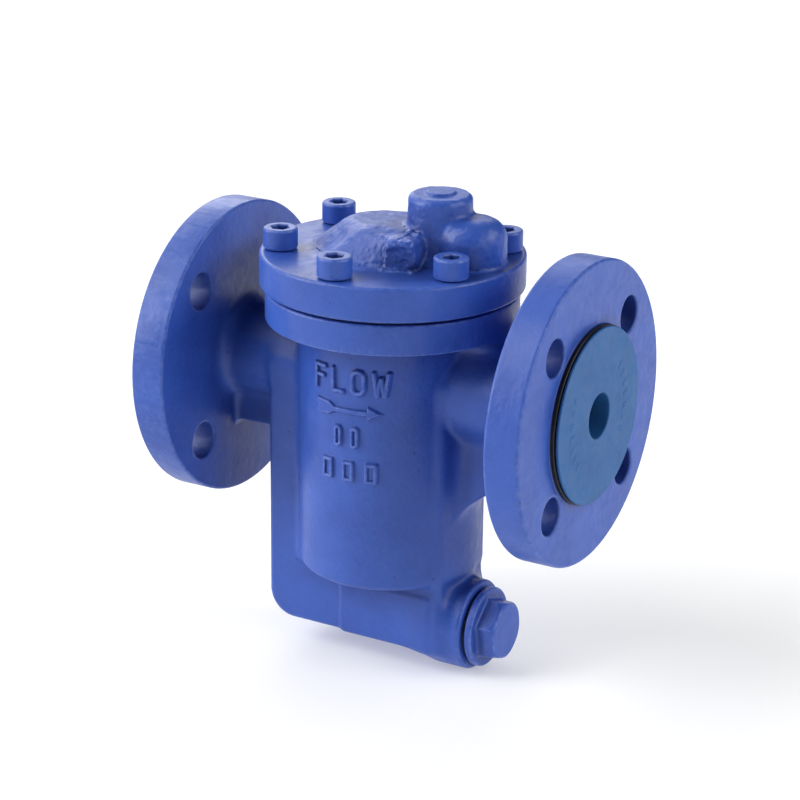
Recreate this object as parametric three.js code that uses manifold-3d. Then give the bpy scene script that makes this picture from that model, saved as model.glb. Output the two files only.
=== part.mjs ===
// Inverted bucket steam trap with flanged ends, millimetres.
// X runs along the pipe from inlet (-X) to outlet (+X), Z is up, and the origin
// is on the pipe axis halfway between the two flange faces.
import * as THREE from 'three';
import { mergeVertices } from 'three/addons/utils/BufferGeometryUtils.js';
import Module from 'manifold-3d';

const wasm = await Module();
wasm.setup();

// Pipe flanges
const FLANGE_R = 57.5;
const FLANGE_BACK = 68;
const FLANGE_FRONT = 82;
const FACE_R = 34;
const FACE_X = 84;
const BOLT_CIRCLE_R = 42.5;
const BOLT_HOLE_R = 7;
const NECK_R = 17.5;
const PORT_R = 12.5;

// Vessel, on its own vertical axis slightly towards the inlet
const VESSEL_X = -2;
const VESSEL_R = 35;
const VESSEL_BOTTOM = -75;
const CHAMBER_R = 29.5;
const CHAMBER_FLOOR = -70;
const RIM_R = 48;
const RIM_BOTTOM = 23.2;
const RIM_TOP = 35;

// Inlet passage cast down the side and along under the vessel
const SLAB_LEFT = -46.8;
const SLAB_RIGHT = 28;
const SLAB_BOTTOM = -102.5;
const SLAB_HALF = 17.5;
const SLAB_CORNER_R = 11;
const SLAB_WALL = 4;
const RIB_HALF = 8;

// Drain boss, strainer and plug, on an axis along X
const DRAIN_Z = -94.5;
const DRAIN_R = 17.5;
const DRAIN_FACE = 38;
const SCREEN_BORE_R = 11;
const SCREEN_X0 = 16.5;
const SCREEN_R = 9.5;
const PLUG_THREAD_X = 31;
const PLUG_COLLAR_R = 15.5;
const PLUG_HEX_AF = 21.5;
const PLUG_HEX_TURN = 10;
const PLUG_END = 50;

// Cover
const COVER_R = 50;
const COVER_BOTTOM = 36;
const COVER_TOP = 49.5;
const DOME_TOP = 60.8;
const DOME_X = -1;
const DOME_STRETCH = 1.3;
const BOSS_X = 18;
const BOSS_R = 12.4;
const BOSS_TOP = 74;
const HUMP_X = 31.3;
const HUMP_R = 13;
const HUMP_TOP = 66.8;
const HUMP_EDGE = 8;
const OUTLET_DROP_X = 37.5;
const OUTLET_DROP_R = 4.5;

// Cover screws, M8 socket head
const SCREW_COUNT = 6;
const SCREW_CIRCLE_R = 42;
const SCREW_R = 3.9;
const SCREW_HEAD_R = 6.5;
const SCREW_HEAD_H = 8;
const SCREW_TIP = 26;

// Valve mechanism hung under the cover
const SEAT_X = 14;
const SEAT_FACE = 29.2;
const SEAT_SHOULDER = 34;
const SEAT_THREAD_R = 6;
const ORIFICE_R = 1.6;
const PIN_X = 21.5;
const PIN_Z = 24.5;
const PIN_R = 1.4;
const LEVER_REST = THREE.MathUtils.degToRad(-5);
const LEVER_LENGTH = 23.5;
const VALVE_ARM = 7.6;
const BRACKET_SCREW_X = 8.5;
const BRACKET_SCREW_Y = 9.4;

// Bucket and the riser tube that feeds it from below
const BUCKET_R = 22;
const BUCKET_WALL = 1.2;
const BUCKET_HEIGHT = 80;
const BUCKET_DROP = 7.5;
const RISER_X = 10;
const RISER_R = 4;

const GAP = 0.3;

// ---------------------------------------------------------------- solids

function solid(geometry) {
  const bare = geometry.clone();
  bare.deleteAttribute('normal');
  bare.deleteAttribute('uv');
  const merged = mergeVertices(bare, 1e-4);
  const index = merged.index.array;
  const kept = [];
  for (let i = 0; i < index.length; i += 3) {
    const [a, b, c] = [index[i], index[i + 1], index[i + 2]];
    if (a !== b && b !== c && c !== a) kept.push(a, b, c);
  }
  return new wasm.Manifold(new wasm.Mesh({
    numProp: 3,
    vertProperties: new Float32Array(merged.attributes.position.array),
    triVerts: new Uint32Array(kept),
  }));
}

function turnTo(geometry, axis) {
  if (axis === 'x') geometry.rotateZ(-Math.PI / 2);
  if (axis === 'z') geometry.rotateX(Math.PI / 2);
  return geometry;
}

function rod(radius, from, to, axis, segments = 16) {
  const geometry = new THREE.CylinderGeometry(radius, radius, to - from, segments);
  geometry.translate(0, (from + to) / 2, 0);
  return solid(turnTo(geometry, axis));
}

// A turned solid: its profile is [radius, distance along the axis] pairs,
// from the low end on the axis to the high end on the axis.
function turned(profile, axis, segments = 24) {
  const points = profile.map(([r, h]) => new THREE.Vector2(r, h));
  return solid(turnTo(new THREE.LatheGeometry(points, segments), axis));
}

function block(x0, x1, y0, y1, z0, z1) {
  const geometry = new THREE.BoxGeometry(x1 - x0, y1 - y0, z1 - z0);
  geometry.translate((x0 + x1) / 2, (y0 + y1) / 2, (z0 + z1) / 2);
  return solid(geometry);
}

function hexPrism(acrossFlats, from, to, axis) {
  return rod(acrossFlats / 2 / Math.cos(Math.PI / 6), from, to, axis, 6);
}

// A shape drawn in (x, z), extruded along Y and centred on y = 0.
function slice(shape, half, bevel = 0) {
  const geometry = new THREE.ExtrudeGeometry(shape, {
    depth: 2 * (half - bevel),
    bevelEnabled: bevel > 0,
    bevelThickness: bevel,
    bevelSize: bevel,
    bevelOffset: -bevel,
    bevelSegments: 2,
    curveSegments: 5,
  });
  geometry.rotateX(Math.PI / 2);
  geometry.translate(0, half - bevel, 0);
  return solid(geometry);
}

function outline(points) {
  return new THREE.Shape(points.map(([x, z]) => new THREE.Vector2(x, z)));
}

function screwPlaces() {
  const places = [];
  for (let k = 0; k < SCREW_COUNT; k += 1) {
    const angle = THREE.MathUtils.degToRad(30 + (360 / SCREW_COUNT) * k);
    places.push([VESSEL_X + SCREW_CIRCLE_R * Math.cos(angle), SCREW_CIRCLE_R * Math.sin(angle)]);
  }
  return places;
}

function join(pieces) {
  return pieces.reduce((whole, piece) => whole.add(piece));
}

function cut(whole, pieces) {
  return pieces.reduce((left, piece) => left.subtract(piece), whole);
}

// ------------------------------------------------------------- materials

const finish = (color, roughness, metalness) => (
  new THREE.MeshStandardMaterial({ color, roughness, metalness })
);
const PAINT = finish(0x3b55b0, 0.42, 0.1);
const PROTECTOR = finish(0x1f5fae, 0.6, 0);
const GASKET = finish(0x2b2d33, 0.85, 0);
const STAINLESS = finish(0xb9bcc0, 0.32, 1);
const HARD_STEEL = finish(0x8f9398, 0.25, 1);

const assembly = new THREE.Group();

function place(name, manifold, material, parent = assembly) {
  const mesh = manifold.getMesh();
  const geometry = new THREE.BufferGeometry();
  geometry.setAttribute('position', new THREE.BufferAttribute(mesh.vertProperties, 3));
  geometry.setIndex(new THREE.BufferAttribute(mesh.triVerts, 1));
  geometry.computeVertexNormals();
  const node = new THREE.Mesh(geometry, material);
  node.name = name;
  parent.add(node);
  return node;
}

// --------------------------------------------------------- body casting

function flangedEnd() {
  return turned([
    [0, 24],
    [NECK_R, 24],
    [NECK_R, FLANGE_BACK - 8],
    [NECK_R + 2, FLANGE_BACK - 4],
    [NECK_R + 7.5, FLANGE_BACK],
    [FLANGE_R - 1.5, FLANGE_BACK],
    [FLANGE_R, FLANGE_BACK + 1.5],
    [FLANGE_R, FLANGE_FRONT - 1.5],
    [FLANGE_R - 1.5, FLANGE_FRONT],
    [FACE_R, FLANGE_FRONT],
    [FACE_R, FACE_X],
    [0, FACE_X],
  ], 'x', 40);
}

function vessel() {
  return turned([
    [0, VESSEL_BOTTOM],
    [VESSEL_R - 3, VESSEL_BOTTOM],
    [VESSEL_R - 0.8, VESSEL_BOTTOM + 1.2],
    [VESSEL_R, VESSEL_BOTTOM + 4],
    [VESSEL_R, RIM_BOTTOM - 2],
    [VESSEL_R + 2, RIM_BOTTOM],
    [RIM_R - 1.2, RIM_BOTTOM],
    [RIM_R, RIM_BOTTOM + 1.2],
    [RIM_R, RIM_TOP - 0.8],
    [RIM_R - 0.8, RIM_TOP],
    [0, RIM_TOP],
  ], 'z', 40).translate([VESSEL_X, 0, 0]);
}

// The flat-sided duct that carries the inlet down and under the vessel.
function inletDuct() {
  const shape = new THREE.Shape();
  shape.moveTo(SLAB_LEFT, 4);
  shape.lineTo(SLAB_LEFT, SLAB_BOTTOM + SLAB_CORNER_R);
  shape.absarc(
    SLAB_LEFT + SLAB_CORNER_R,
    SLAB_BOTTOM + SLAB_CORNER_R,
    SLAB_CORNER_R,
    Math.PI,
    1.5 * Math.PI,
  );
  shape.lineTo(SLAB_RIGHT, SLAB_BOTTOM);
  shape.lineTo(SLAB_RIGHT, VESSEL_BOTTOM + 6);
  shape.lineTo(VESSEL_X - VESSEL_R + 8, VESSEL_BOTTOM + 6);
  shape.lineTo(VESSEL_X - VESSEL_R + 8, 4);
  return slice(shape, SLAB_HALF, 1.5);
}

function drainBoss() {
  return turned([
    [0, 6],
    [8, 8],
    [10, 12],
    [14.2, 17],
    [DRAIN_R, 22],
    [DRAIN_R, DRAIN_FACE - 1],
    [DRAIN_R - 1, DRAIN_FACE],
    [0, DRAIN_FACE],
  ], 'x', 28).translate([0, 0, DRAIN_Z]);
}

function ribs() {
  const inletRib = block(-70, -44, -RIB_HALF, RIB_HALF, -28, -12);
  const outletRib = slice(outline([[28, -47], [33, -46], [66, -20], [66, -10], [28, -10]]), RIB_HALF);
  const outletRise = rod(9.5, 10, RIM_BOTTOM + 1, 'z', 20).translate([OUTLET_DROP_X, 0, 0]);
  return join([inletRib, outletRib, outletRise]);
}

// Strokes of the raised word FLOW, in a cell 5 wide and 8.4 high.
const LETTER_STROKES = {
  F: [[[0, 0], [0, 8.4]], [[0, 8.4], [4.4, 8.4]], [[0, 4.6], [3.6, 4.6]]],
  L: [[[0, 0], [0, 8.4]], [[0, 0], [4.3, 0]]],
  O: [[[0, 0], [0, 8.4]], [[0, 8.4], [4.5, 8.4]], [[4.5, 8.4], [4.5, 0]], [[4.5, 0], [0, 0]]],
  W: [[[0, 8.4], [1.3, 0]], [[1.3, 0], [2.6, 6.4]], [[2.6, 6.4], [3.9, 0]], [[3.9, 0], [5.2, 8.4]]],
};
const LETTER_PITCH = 8.2;
const STROKE = 1.5;
const MARK_HEIGHT = 0.9;

function strokePrism([[x0, z0], [x1, z1]]) {
  const length = Math.hypot(x1 - x0, z1 - z0) + STROKE;
  const geometry = new THREE.BoxGeometry(length, 14, STROKE);
  geometry.rotateY(-Math.atan2(z1 - z0, x1 - x0));
  geometry.translate((x0 + x1) / 2, -VESSEL_R, (z0 + z1) / 2);
  return solid(geometry);
}

// Raised marks on the front of the vessel: the word FLOW, an arrow towards the
// outlet, two round-ended pads and three square ones.
function reliefMarks() {
  const prisms = [];
  [...'FLOW'].forEach((letter, k) => {
    LETTER_STROKES[letter].forEach((stroke) => {
      prisms.push(strokePrism(stroke).translate([-14.8 + LETTER_PITCH * k, 0, 3.8]));
    });
  });
  const arrow = outline([
    [-14.4, -5.9], [-6.4, -5.4], [-4, -4.3], [7.4, -4.3], [7.4, -6.3],
    [13, -3.6], [7.4, -0.9], [7.4, -2.9], [-4, -2.9], [-6.4, -1.8], [-14.4, -1.3], [-13.2, -3.6],
  ]);
  prisms.push(slice(arrow, 4).translate([0, -VESSEL_R, 0]));
  [-4.4, 2.6].forEach((x) => {
    prisms.push(block(x - 1.9, x + 1.9, -42, -28, -16.1, -11.3));
    prisms.push(rod(1.9, -42, -28, 'y', 12).translate([x, 0, -16.1]));
    prisms.push(rod(1.9, -42, -28, 'y', 12).translate([x, 0, -11.3]));
  });
  [-9, 0, 9].forEach((x) => prisms.push(block(x - 2.5, x + 2.5, -42, -28, -31.4, -23.2)));
  const shell = rod(VESSEL_R + MARK_HEIGHT, -40, 20, 'z', 40).translate([VESSEL_X, 0, 0]);
  return join(prisms).intersect(shell);
}

function bodyPassages() {
  const inletPort = rod(PORT_R, -90, -38, 'x', 24);
  const outletPort = rod(PORT_R, 32, 90, 'x', 24);
  const ductInside = SLAB_HALF - 6;
  const down = block(SLAB_LEFT + SLAB_WALL, -35, -ductInside, ductInside, -98, 8);
  const along = block(SLAB_LEFT + SLAB_WALL, 10, -ductInside, ductInside, -98, -84.5);
  const screenMouth = rod(7, 9, SCREEN_X0 + 1, 'x').translate([0, 0, DRAIN_Z]);
  const screenBore = rod(SCREEN_BORE_R, SCREEN_X0, DRAIN_FACE + 4, 'x', 20).translate([0, 0, DRAIN_Z]);
  const risingPort = block(RISER_X - 3.5, 24, -3.5, 3.5, -81.5, -76);
  const screenPort = rod(3.5, -88, -77, 'z', 12).translate([20.5, 0, 0]);
  const riserHole = rod(RISER_R + GAP, -78, CHAMBER_FLOOR + 1, 'z').translate([RISER_X, 0, 0]);
  const chamber = rod(CHAMBER_R, CHAMBER_FLOOR, RIM_TOP + 5, 'z', 32).translate([VESSEL_X, 0, 0]);
  const outletDrop = rod(OUTLET_DROP_R, 0, RIM_TOP + 5, 'z').translate([OUTLET_DROP_X, 0, 0]);
  return [
    inletPort, outletPort, down, along, screenMouth, screenBore,
    risingPort, screenPort, riserHole, chamber, outletDrop,
  ];
}

function flangeBoltHoles() {
  const offset = BOLT_CIRCLE_R * Math.SQRT1_2;
  const holes = [];
  for (const y of [-offset, offset]) {
    for (const z of [-offset, offset]) {
      holes.push(rod(BOLT_HOLE_R, -90, -60, 'x').translate([0, y, z]));
      holes.push(rod(BOLT_HOLE_R, 60, 90, 'x').translate([0, y, z]));
    }
  }
  return holes;
}

function bodyCasting() {
  const outletEnd = flangedEnd();
  const inletEnd = outletEnd.rotate([0, 0, 180]);
  const cast = join([vessel(), inletEnd, outletEnd, inletDuct(), drainBoss(), ribs(), reliefMarks()]);
  const tapped = screwPlaces().map(([x, y]) => (
    rod(SCREW_R + GAP, SCREW_TIP - 1, RIM_TOP + 1, 'z', 12).translate([x, y, 0])
  ));
  return cut(cast, [...bodyPassages(), ...flangeBoltHoles(), ...tapped]);
}

// -------------------------------------------------------- cover casting

function coverDome() {
  const geometry = new THREE.CylinderGeometry(14.5, 25.5, DOME_TOP - COVER_TOP + GAP, 28);
  geometry.rotateX(Math.PI / 2);
  geometry.scale(DOME_STRETCH, 1, 1);
  geometry.translate(DOME_X, 0, (DOME_TOP + COVER_TOP - GAP) / 2);
  const front = outline([[-28, COVER_TOP - 0.4], [-20, DOME_TOP], [0, DOME_TOP], [0, COVER_TOP - 0.4]]);
  const frontFace = slice(front, 8).rotate([0, 0, 90]).translate([0.5, 0, 0]);
  const lug = outline([
    [-26.3, COVER_TOP - 1], [-26.3, DOME_TOP - 2], [-24.3, DOME_TOP], [-8, DOME_TOP], [-8, COVER_TOP - 1],
  ]);
  const lugSolid = slice(lug, 5.4).rotate([0, 0, 90]).translate([14.4, 0, 0]);
  return join([solid(geometry), frontFace, lugSolid]);
}

function coverTurrets() {
  const boss = turned([
    [0, COVER_TOP - 1],
    [BOSS_R, COVER_TOP - 1],
    [BOSS_R, BOSS_TOP - 1.5],
    [BOSS_R - 1.5, BOSS_TOP],
    [5, BOSS_TOP],
    [5, BOSS_TOP + 1],
    [0, BOSS_TOP + 1],
  ], 'z', 24).translate([BOSS_X, 0, 0]);
  const profile = [[0, COVER_TOP - 1], [HUMP_R, COVER_TOP - 1]];
  for (let degrees = 0; degrees <= 90; degrees += 18) {
    const angle = THREE.MathUtils.degToRad(degrees);
    const r = HUMP_R - HUMP_EDGE * (1 - Math.cos(angle));
    profile.push([r, HUMP_TOP - HUMP_EDGE * (1 - Math.sin(angle))]);
  }
  profile.push([0, HUMP_TOP]);
  return join([boss, turned(profile, 'z', 24).translate([HUMP_X, 0, 0])]);
}

function coverCavity() {
  const shape = new THREE.Shape();
  shape.moveTo(2, -13);
  shape.lineTo(2, 13);
  shape.lineTo(-11, 13);
  shape.absarc(-11, 0, 13, 0.5 * Math.PI, 1.5 * Math.PI);
  const geometry = new THREE.ExtrudeGeometry(shape, { depth: 18, bevelEnabled: false, curveSegments: 6 });
  geometry.translate(0, 0, COVER_BOTTOM - 1.5);
  return solid(geometry);
}

function coverPassages() {
  const seatHole = rod(SEAT_THREAD_R + GAP, COVER_BOTTOM - 1, 50, 'z').translate([SEAT_X, 0, 0]);
  const rise = rod(3, 49, 60, 'z', 16).translate([SEAT_X, 0, 0]);
  const across = rod(4, SEAT_X - 2, OUTLET_DROP_X + 2, 'x', 16).translate([0, 0, 58]);
  const drop = rod(OUTLET_DROP_R, COVER_BOTTOM - 1, 60, 'z').translate([OUTLET_DROP_X, 0, 0]);
  const bracketHoles = [-1, 1].map((side) => (
    rod(1.8, COVER_BOTTOM - 1, 43, 'z', 12).translate([BRACKET_SCREW_X, side * BRACKET_SCREW_Y, 0])
  ));
  return [seatHole, rise, across, drop, ...bracketHoles];
}

function coverCasting() {
  const plate = turned([
    [0, COVER_BOTTOM],
    [COVER_R - 1, COVER_BOTTOM],
    [COVER_R, COVER_BOTTOM + 1],
    [COVER_R, COVER_TOP - 1.5],
    [COVER_R - 1.5, COVER_TOP],
    [0, COVER_TOP],
  ], 'z', 40).translate([VESSEL_X, 0, 0]);
  const clearance = screwPlaces().map(([x, y]) => (
    rod(SCREW_R + 0.5, COVER_BOTTOM - 1, COVER_TOP + 1, 'z', 12).translate([x, y, 0])
  ));
  const cast = join([plate, coverDome(), coverTurrets()]);
  return cut(cast, [coverCavity(), ...coverPassages(), ...clearance]);
}

// --------------------------------------------------- fasteners and seals

function coverGasket() {
  const ring = rod(RIM_R - 1.5, RIM_TOP + 0.2, COVER_BOTTOM - 0.2, 'z', 40).translate([VESSEL_X, 0, 0]);
  const inside = rod(CHAMBER_R, RIM_TOP, COVER_BOTTOM, 'z', 32).translate([VESSEL_X, 0, 0]);
  const outlet = rod(OUTLET_DROP_R, RIM_TOP, COVER_BOTTOM, 'z').translate([OUTLET_DROP_X, 0, 0]);
  const screws = screwPlaces().map(([x, y]) => (
    rod(SCREW_R + 0.5, RIM_TOP, COVER_BOTTOM, 'z', 12).translate([x, y, 0])
  ));
  return cut(ring, [inside, outlet, ...screws]);
}

function capScrew() {
  const seat = COVER_TOP + GAP;
  const bolt = turned([
    [0, SCREW_TIP],
    [SCREW_R - 0.8, SCREW_TIP],
    [SCREW_R, SCREW_TIP + 0.8],
    [SCREW_R, seat],
    [SCREW_HEAD_R, seat],
    [SCREW_HEAD_R, seat + SCREW_HEAD_H - 0.8],
    [SCREW_HEAD_R - 0.8, seat + SCREW_HEAD_H],
    [0, seat + SCREW_HEAD_H],
  ], 'z', 16);
  return bolt.subtract(hexPrism(6, seat + SCREW_HEAD_H - 4.5, seat + SCREW_HEAD_H + 1, 'z'));
}

function drainPlug() {
  const collar = DRAIN_FACE + 1.4;
  const shank = turned([
    [0, PLUG_THREAD_X],
    [SCREEN_BORE_R - 1.3, PLUG_THREAD_X],
    [SCREEN_BORE_R - GAP, PLUG_THREAD_X + 1],
    [SCREEN_BORE_R - GAP, collar],
    [PLUG_COLLAR_R, collar],
    [PLUG_COLLAR_R, collar + 2],
    [PLUG_COLLAR_R - 1, collar + 3],
    [0, collar + 3],
  ], 'x', 28);
  const head = hexPrism(PLUG_HEX_AF, collar + 2, PLUG_END, 'x').rotate([PLUG_HEX_TURN, 0, 0]);
  const crown = turned([
    [0, collar],
    [14, collar],
    [14, PLUG_END - 2],
    [10.8, PLUG_END],
    [0, PLUG_END],
  ], 'x', 28);
  return shank.add(head.intersect(crown)).translate([0, 0, DRAIN_Z]);
}

function drainPlugGasket() {
  const ring = rod(14.2, DRAIN_FACE + 0.2, DRAIN_FACE + 1.2, 'x', 28);
  return ring.subtract(rod(SCREEN_BORE_R, DRAIN_FACE, DRAIN_FACE + 2, 'x', 28)).translate([0, 0, DRAIN_Z]);
}

function strainerScreen() {
  const from = SCREEN_X0 + GAP;
  const to = PLUG_THREAD_X - GAP;
  const tube = rod(SCREEN_R, from, to, 'x', 24).subtract(rod(SCREEN_R - 0.6, from - 1, to + 1, 'x', 24));
  const windows = [];
  for (const x of [from + 3.8, from + 10]) {
    for (let turn = 0; turn < 180; turn += 45) {
      windows.push(block(x - 2.4, x + 2.4, -12, 12, -1.9, 1.9).rotate([turn, 0, 0]));
    }
  }
  return cut(tube, windows).translate([0, 0, DRAIN_Z]);
}

function riserTube() {
  const tube = turned([
    [RISER_R - 1, -77.5],
    [RISER_R, -77.5],
    [RISER_R, -30],
    [RISER_R - 1, -30],
    [RISER_R - 1, -77.5],
  ], 'z', 16);
  return tube.translate([RISER_X, 0, 0]);
}

function flangeProtector() {
  return turned([
    [8.5, 76],
    [PORT_R - GAP, 76],
    [PORT_R - GAP, FACE_X + GAP],
    [FACE_R - 0.5, FACE_X + GAP],
    [FACE_R, FACE_X + 0.7],
    [FACE_R - 0.5, FACE_X + 1.5],
    [8.5, FACE_X + 1.5],
    [8.5, 76],
  ], 'x', 36);
}

// -------------------------------------------------------- valve mechanism

function valveSeat() {
  const hex = hexPrism(13, SEAT_FACE, SEAT_SHOULDER, 'z').rotate([0, 0, 90]);
  const thread = rod(SEAT_THREAD_R, SEAT_SHOULDER - 1, 46, 'z');
  const orifice = rod(ORIFICE_R, SEAT_FACE - 1, 47, 'z', 20);
  const relief = rod(3, SEAT_SHOULDER + 2, 47, 'z', 20);
  return cut(hex.add(thread), [orifice, relief]).translate([SEAT_X, 0, 0]);
}

function leverBracket() {
  const plate = block(4.5, 24.4, -12, 12, SEAT_SHOULDER + GAP, COVER_BOTTOM - GAP);
  const ears = [-9.5, 8].map((y) => {
    const ear = outline([
      [PIN_X - 2.8, COVER_BOTTOM - 1],
      [PIN_X - 2.8, PIN_Z - 1],
      [PIN_X - 1.2, PIN_Z - 2.8],
      [PIN_X + 1.2, PIN_Z - 2.8],
      [PIN_X + 2.5, PIN_Z - 1],
      [PIN_X + 2.5, COVER_BOTTOM - 1],
    ]);
    return slice(ear, 0.75).translate([0, y + 0.75, 0]);
  });
  const pinHole = rod(PIN_R + 0.35, -12, 12, 'y', 16).translate([PIN_X, 0, PIN_Z]);
  const seatHole = rod(SEAT_THREAD_R + GAP, 30, 40, 'z').translate([SEAT_X, 0, 0]);
  const screwHoles = [-1, 1].map((side) => (
    rod(1.8, 30, 40, 'z', 12).translate([BRACKET_SCREW_X, side * BRACKET_SCREW_Y, 0])
  ));
  return cut(join([plate, ...ears]), [pinHole, seatHole, ...screwHoles]);
}

function bracketScrew() {
  const screw = turned([
    [0, 31.7],
    [2, 31.7],
    [2.5, 32.4],
    [2.5, SEAT_SHOULDER],
    [1.5, SEAT_SHOULDER],
    [1.5, 42],
    [0, 42],
  ], 'z', 12);
  return screw.subtract(block(-3, 3, -0.4, 0.4, 31, 32.6));
}

function pivotPin() {
  return turned([
    [0, -11.8],
    [2.3, -11.8],
    [2.3, -10.3],
    [PIN_R, -10.3],
    [PIN_R, 10.6],
    [0, 10.6],
  ], 'y', 16).translate([PIN_X, 0, PIN_Z]);
}

// The lever, valve and bucket are drawn about the pivot pin's axis with the
// lever level, and the group that holds them turns it to its rest angle.
function lever() {
  const strip = new THREE.ExtrudeGeometry(outline([
    [-1.5, -4],
    [-1.5, 4],
    [-14, 4],
    [-18, 2.7],
    [-LEVER_LENGTH, 2.7],
    [-LEVER_LENGTH, -2.7],
    [-18, -2.7],
    [-14, -4],
  ]), { depth: 1.8, bevelEnabled: false });
  strip.translate(0, 0, -1);
  const pinEye = rod(3, -7.6, 7.6, 'y', 20);
  const hookEye = rod(2.6, -2.7, 2.7, 'y', 16).translate([-LEVER_LENGTH, 0, 0]);
  const pinHole = rod(PIN_R + 0.35, -9, 9, 'y', 16);
  const hookHole = rod(1.45, -4, 4, 'y', 12).translate([-LEVER_LENGTH, 0, 0]);
  const stemHole = rod(1.35, -3, 3, 'z', 12).translate([-VALVE_ARM, 0, 0]);
  return cut(join([solid(strip), pinEye, hookEye]), [pinHole, hookHole, stemHole]);
}

// A ball-faced plug riveted through the lever.
function valvePlug() {
  const profile = [[0, -2.6], [2, -2.6], [2, -1.3], [1, -1.3], [1, 1.1], [3, 1.1]];
  for (let degrees = 15; degrees <= 90; degrees += 15) {
    const angle = THREE.MathUtils.degToRad(degrees);
    profile.push([Math.max(0, 3 * Math.cos(angle)), 1.3 + 3 * Math.sin(angle)]);
  }
  profile[profile.length - 1][0] = 0;
  return turned(profile, 'z', 16).translate([-VALVE_ARM, 0, 0]);
}

// The bucket hangs upright, drawn about the hook bar's axis.
function bucket() {
  const top = -BUCKET_DROP;
  const rim = top - BUCKET_HEIGHT;
  const cup = turned([
    [BUCKET_R - BUCKET_WALL, rim],
    [BUCKET_R, rim],
    [BUCKET_R, top - 1.5],
    [BUCKET_R - 1.5, top],
    [1.9, top],
    [1.9, top - 1.5],
    [BUCKET_R - BUCKET_WALL, top - 1.5 - BUCKET_WALL],
    [BUCKET_R - BUCKET_WALL, rim],
  ], 'z', 28);
  return cup.subtract(rod(1.2, top - 3, top + 1, 'z', 12).translate([-12, 0, 0]));
}

function bucketClip() {
  const foot = -BUCKET_DROP + GAP;
  const base = block(-3, 3, -5, 5, foot, foot + 1.2);
  const straps = [-5, 3.6].map((y) => block(-2, 2, y, y + 1.4, foot, 2));
  const bar = rod(1.1, -4.5, 4.5, 'y', 12);
  const stud = rod(1.5, foot - 6, foot + 0.5, 'z', 12);
  return join([base, ...straps, bar, stud]);
}

function clipNut() {
  const top = -BUCKET_DROP - 2.2 - BUCKET_WALL;
  const nut = hexPrism(6, top - 2.2, top, 'z');
  return nut.subtract(rod(1.8, top - 3, top + 1, 'z', 16));
}

// --------------------------------------------------------------- assembly

place('body_casting', bodyCasting(), PAINT);
place('cover_casting', coverCasting(), PAINT);
place('cover_gasket', coverGasket(), GASKET);
screwPlaces().forEach(([x, y], k) => {
  place(`cap_screw_${k + 1}`, capScrew(), PAINT).position.set(x, y, 0);
});
place('drain_plug', drainPlug(), PAINT);
place('drain_plug_gasket', drainPlugGasket(), GASKET);
place('strainer_screen', strainerScreen(), STAINLESS);
place('riser_tube', riserTube(), STAINLESS);
place('outlet_protector', flangeProtector(), PROTECTOR);
place('inlet_protector', flangeProtector(), PROTECTOR).rotation.z = Math.PI;

place('valve_seat', valveSeat(), HARD_STEEL);
place('lever_bracket', leverBracket(), STAINLESS);
[-1, 1].forEach((side, k) => {
  const screw = place(`bracket_screw_${k + 1}`, bracketScrew(), STAINLESS);
  screw.position.set(BRACKET_SCREW_X, side * BRACKET_SCREW_Y, 0);
});
place('pivot_pin', pivotPin(), HARD_STEEL);

const leverGroup = new THREE.Group();
leverGroup.position.set(PIN_X, 0, PIN_Z);
leverGroup.rotation.y = LEVER_REST;
assembly.add(leverGroup);
place('lever', lever(), STAINLESS, leverGroup);
place('valve_plug', valvePlug(), HARD_STEEL, leverGroup);

const bucketGroup = new THREE.Group();
bucketGroup.position.set(-LEVER_LENGTH, 0, 0);
bucketGroup.rotation.y = -LEVER_REST;
leverGroup.add(bucketGroup);
place('bucket', bucket(), STAINLESS, bucketGroup);
place('bucket_clip', bucketClip(), STAINLESS, bucketGroup);
place('clip_nut', clipNut(), STAINLESS, bucketGroup);

export default assembly;
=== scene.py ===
"""Looks for the flanged inverted bucket steam trap: painted castings, fasteners, protectors and trim.

The castings are described as signed distance functions in millimetres, in the CAD model's frame,
so that cast fillets, rounded edges and raised marks flow into each other as they do in a casting.
The last argument of disc, block, corner, least and most is the radius or width of the rounding.
"""
import math

import bpy
import numpy as np
from mathutils import Matrix, Vector


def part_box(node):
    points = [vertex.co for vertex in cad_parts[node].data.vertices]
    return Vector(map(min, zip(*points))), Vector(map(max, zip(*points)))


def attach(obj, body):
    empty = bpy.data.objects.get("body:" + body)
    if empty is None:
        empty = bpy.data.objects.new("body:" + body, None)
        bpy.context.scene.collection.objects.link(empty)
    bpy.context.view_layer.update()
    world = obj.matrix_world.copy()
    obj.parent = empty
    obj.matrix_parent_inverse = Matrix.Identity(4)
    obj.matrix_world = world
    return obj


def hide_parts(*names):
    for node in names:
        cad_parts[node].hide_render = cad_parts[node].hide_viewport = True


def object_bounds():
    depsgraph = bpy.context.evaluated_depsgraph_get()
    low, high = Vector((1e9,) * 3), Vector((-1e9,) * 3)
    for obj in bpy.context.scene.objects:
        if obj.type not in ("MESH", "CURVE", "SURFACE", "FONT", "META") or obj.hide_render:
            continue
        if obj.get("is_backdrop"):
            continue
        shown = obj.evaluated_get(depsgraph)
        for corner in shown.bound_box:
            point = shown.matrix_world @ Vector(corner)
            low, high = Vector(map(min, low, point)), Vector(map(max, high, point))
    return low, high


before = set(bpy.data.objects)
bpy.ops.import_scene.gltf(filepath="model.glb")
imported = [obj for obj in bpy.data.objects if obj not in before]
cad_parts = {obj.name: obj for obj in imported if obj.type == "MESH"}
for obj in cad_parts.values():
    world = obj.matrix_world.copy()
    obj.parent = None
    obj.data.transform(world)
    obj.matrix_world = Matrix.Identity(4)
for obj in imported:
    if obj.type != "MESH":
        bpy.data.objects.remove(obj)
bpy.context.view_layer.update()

MM = 0.001

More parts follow.
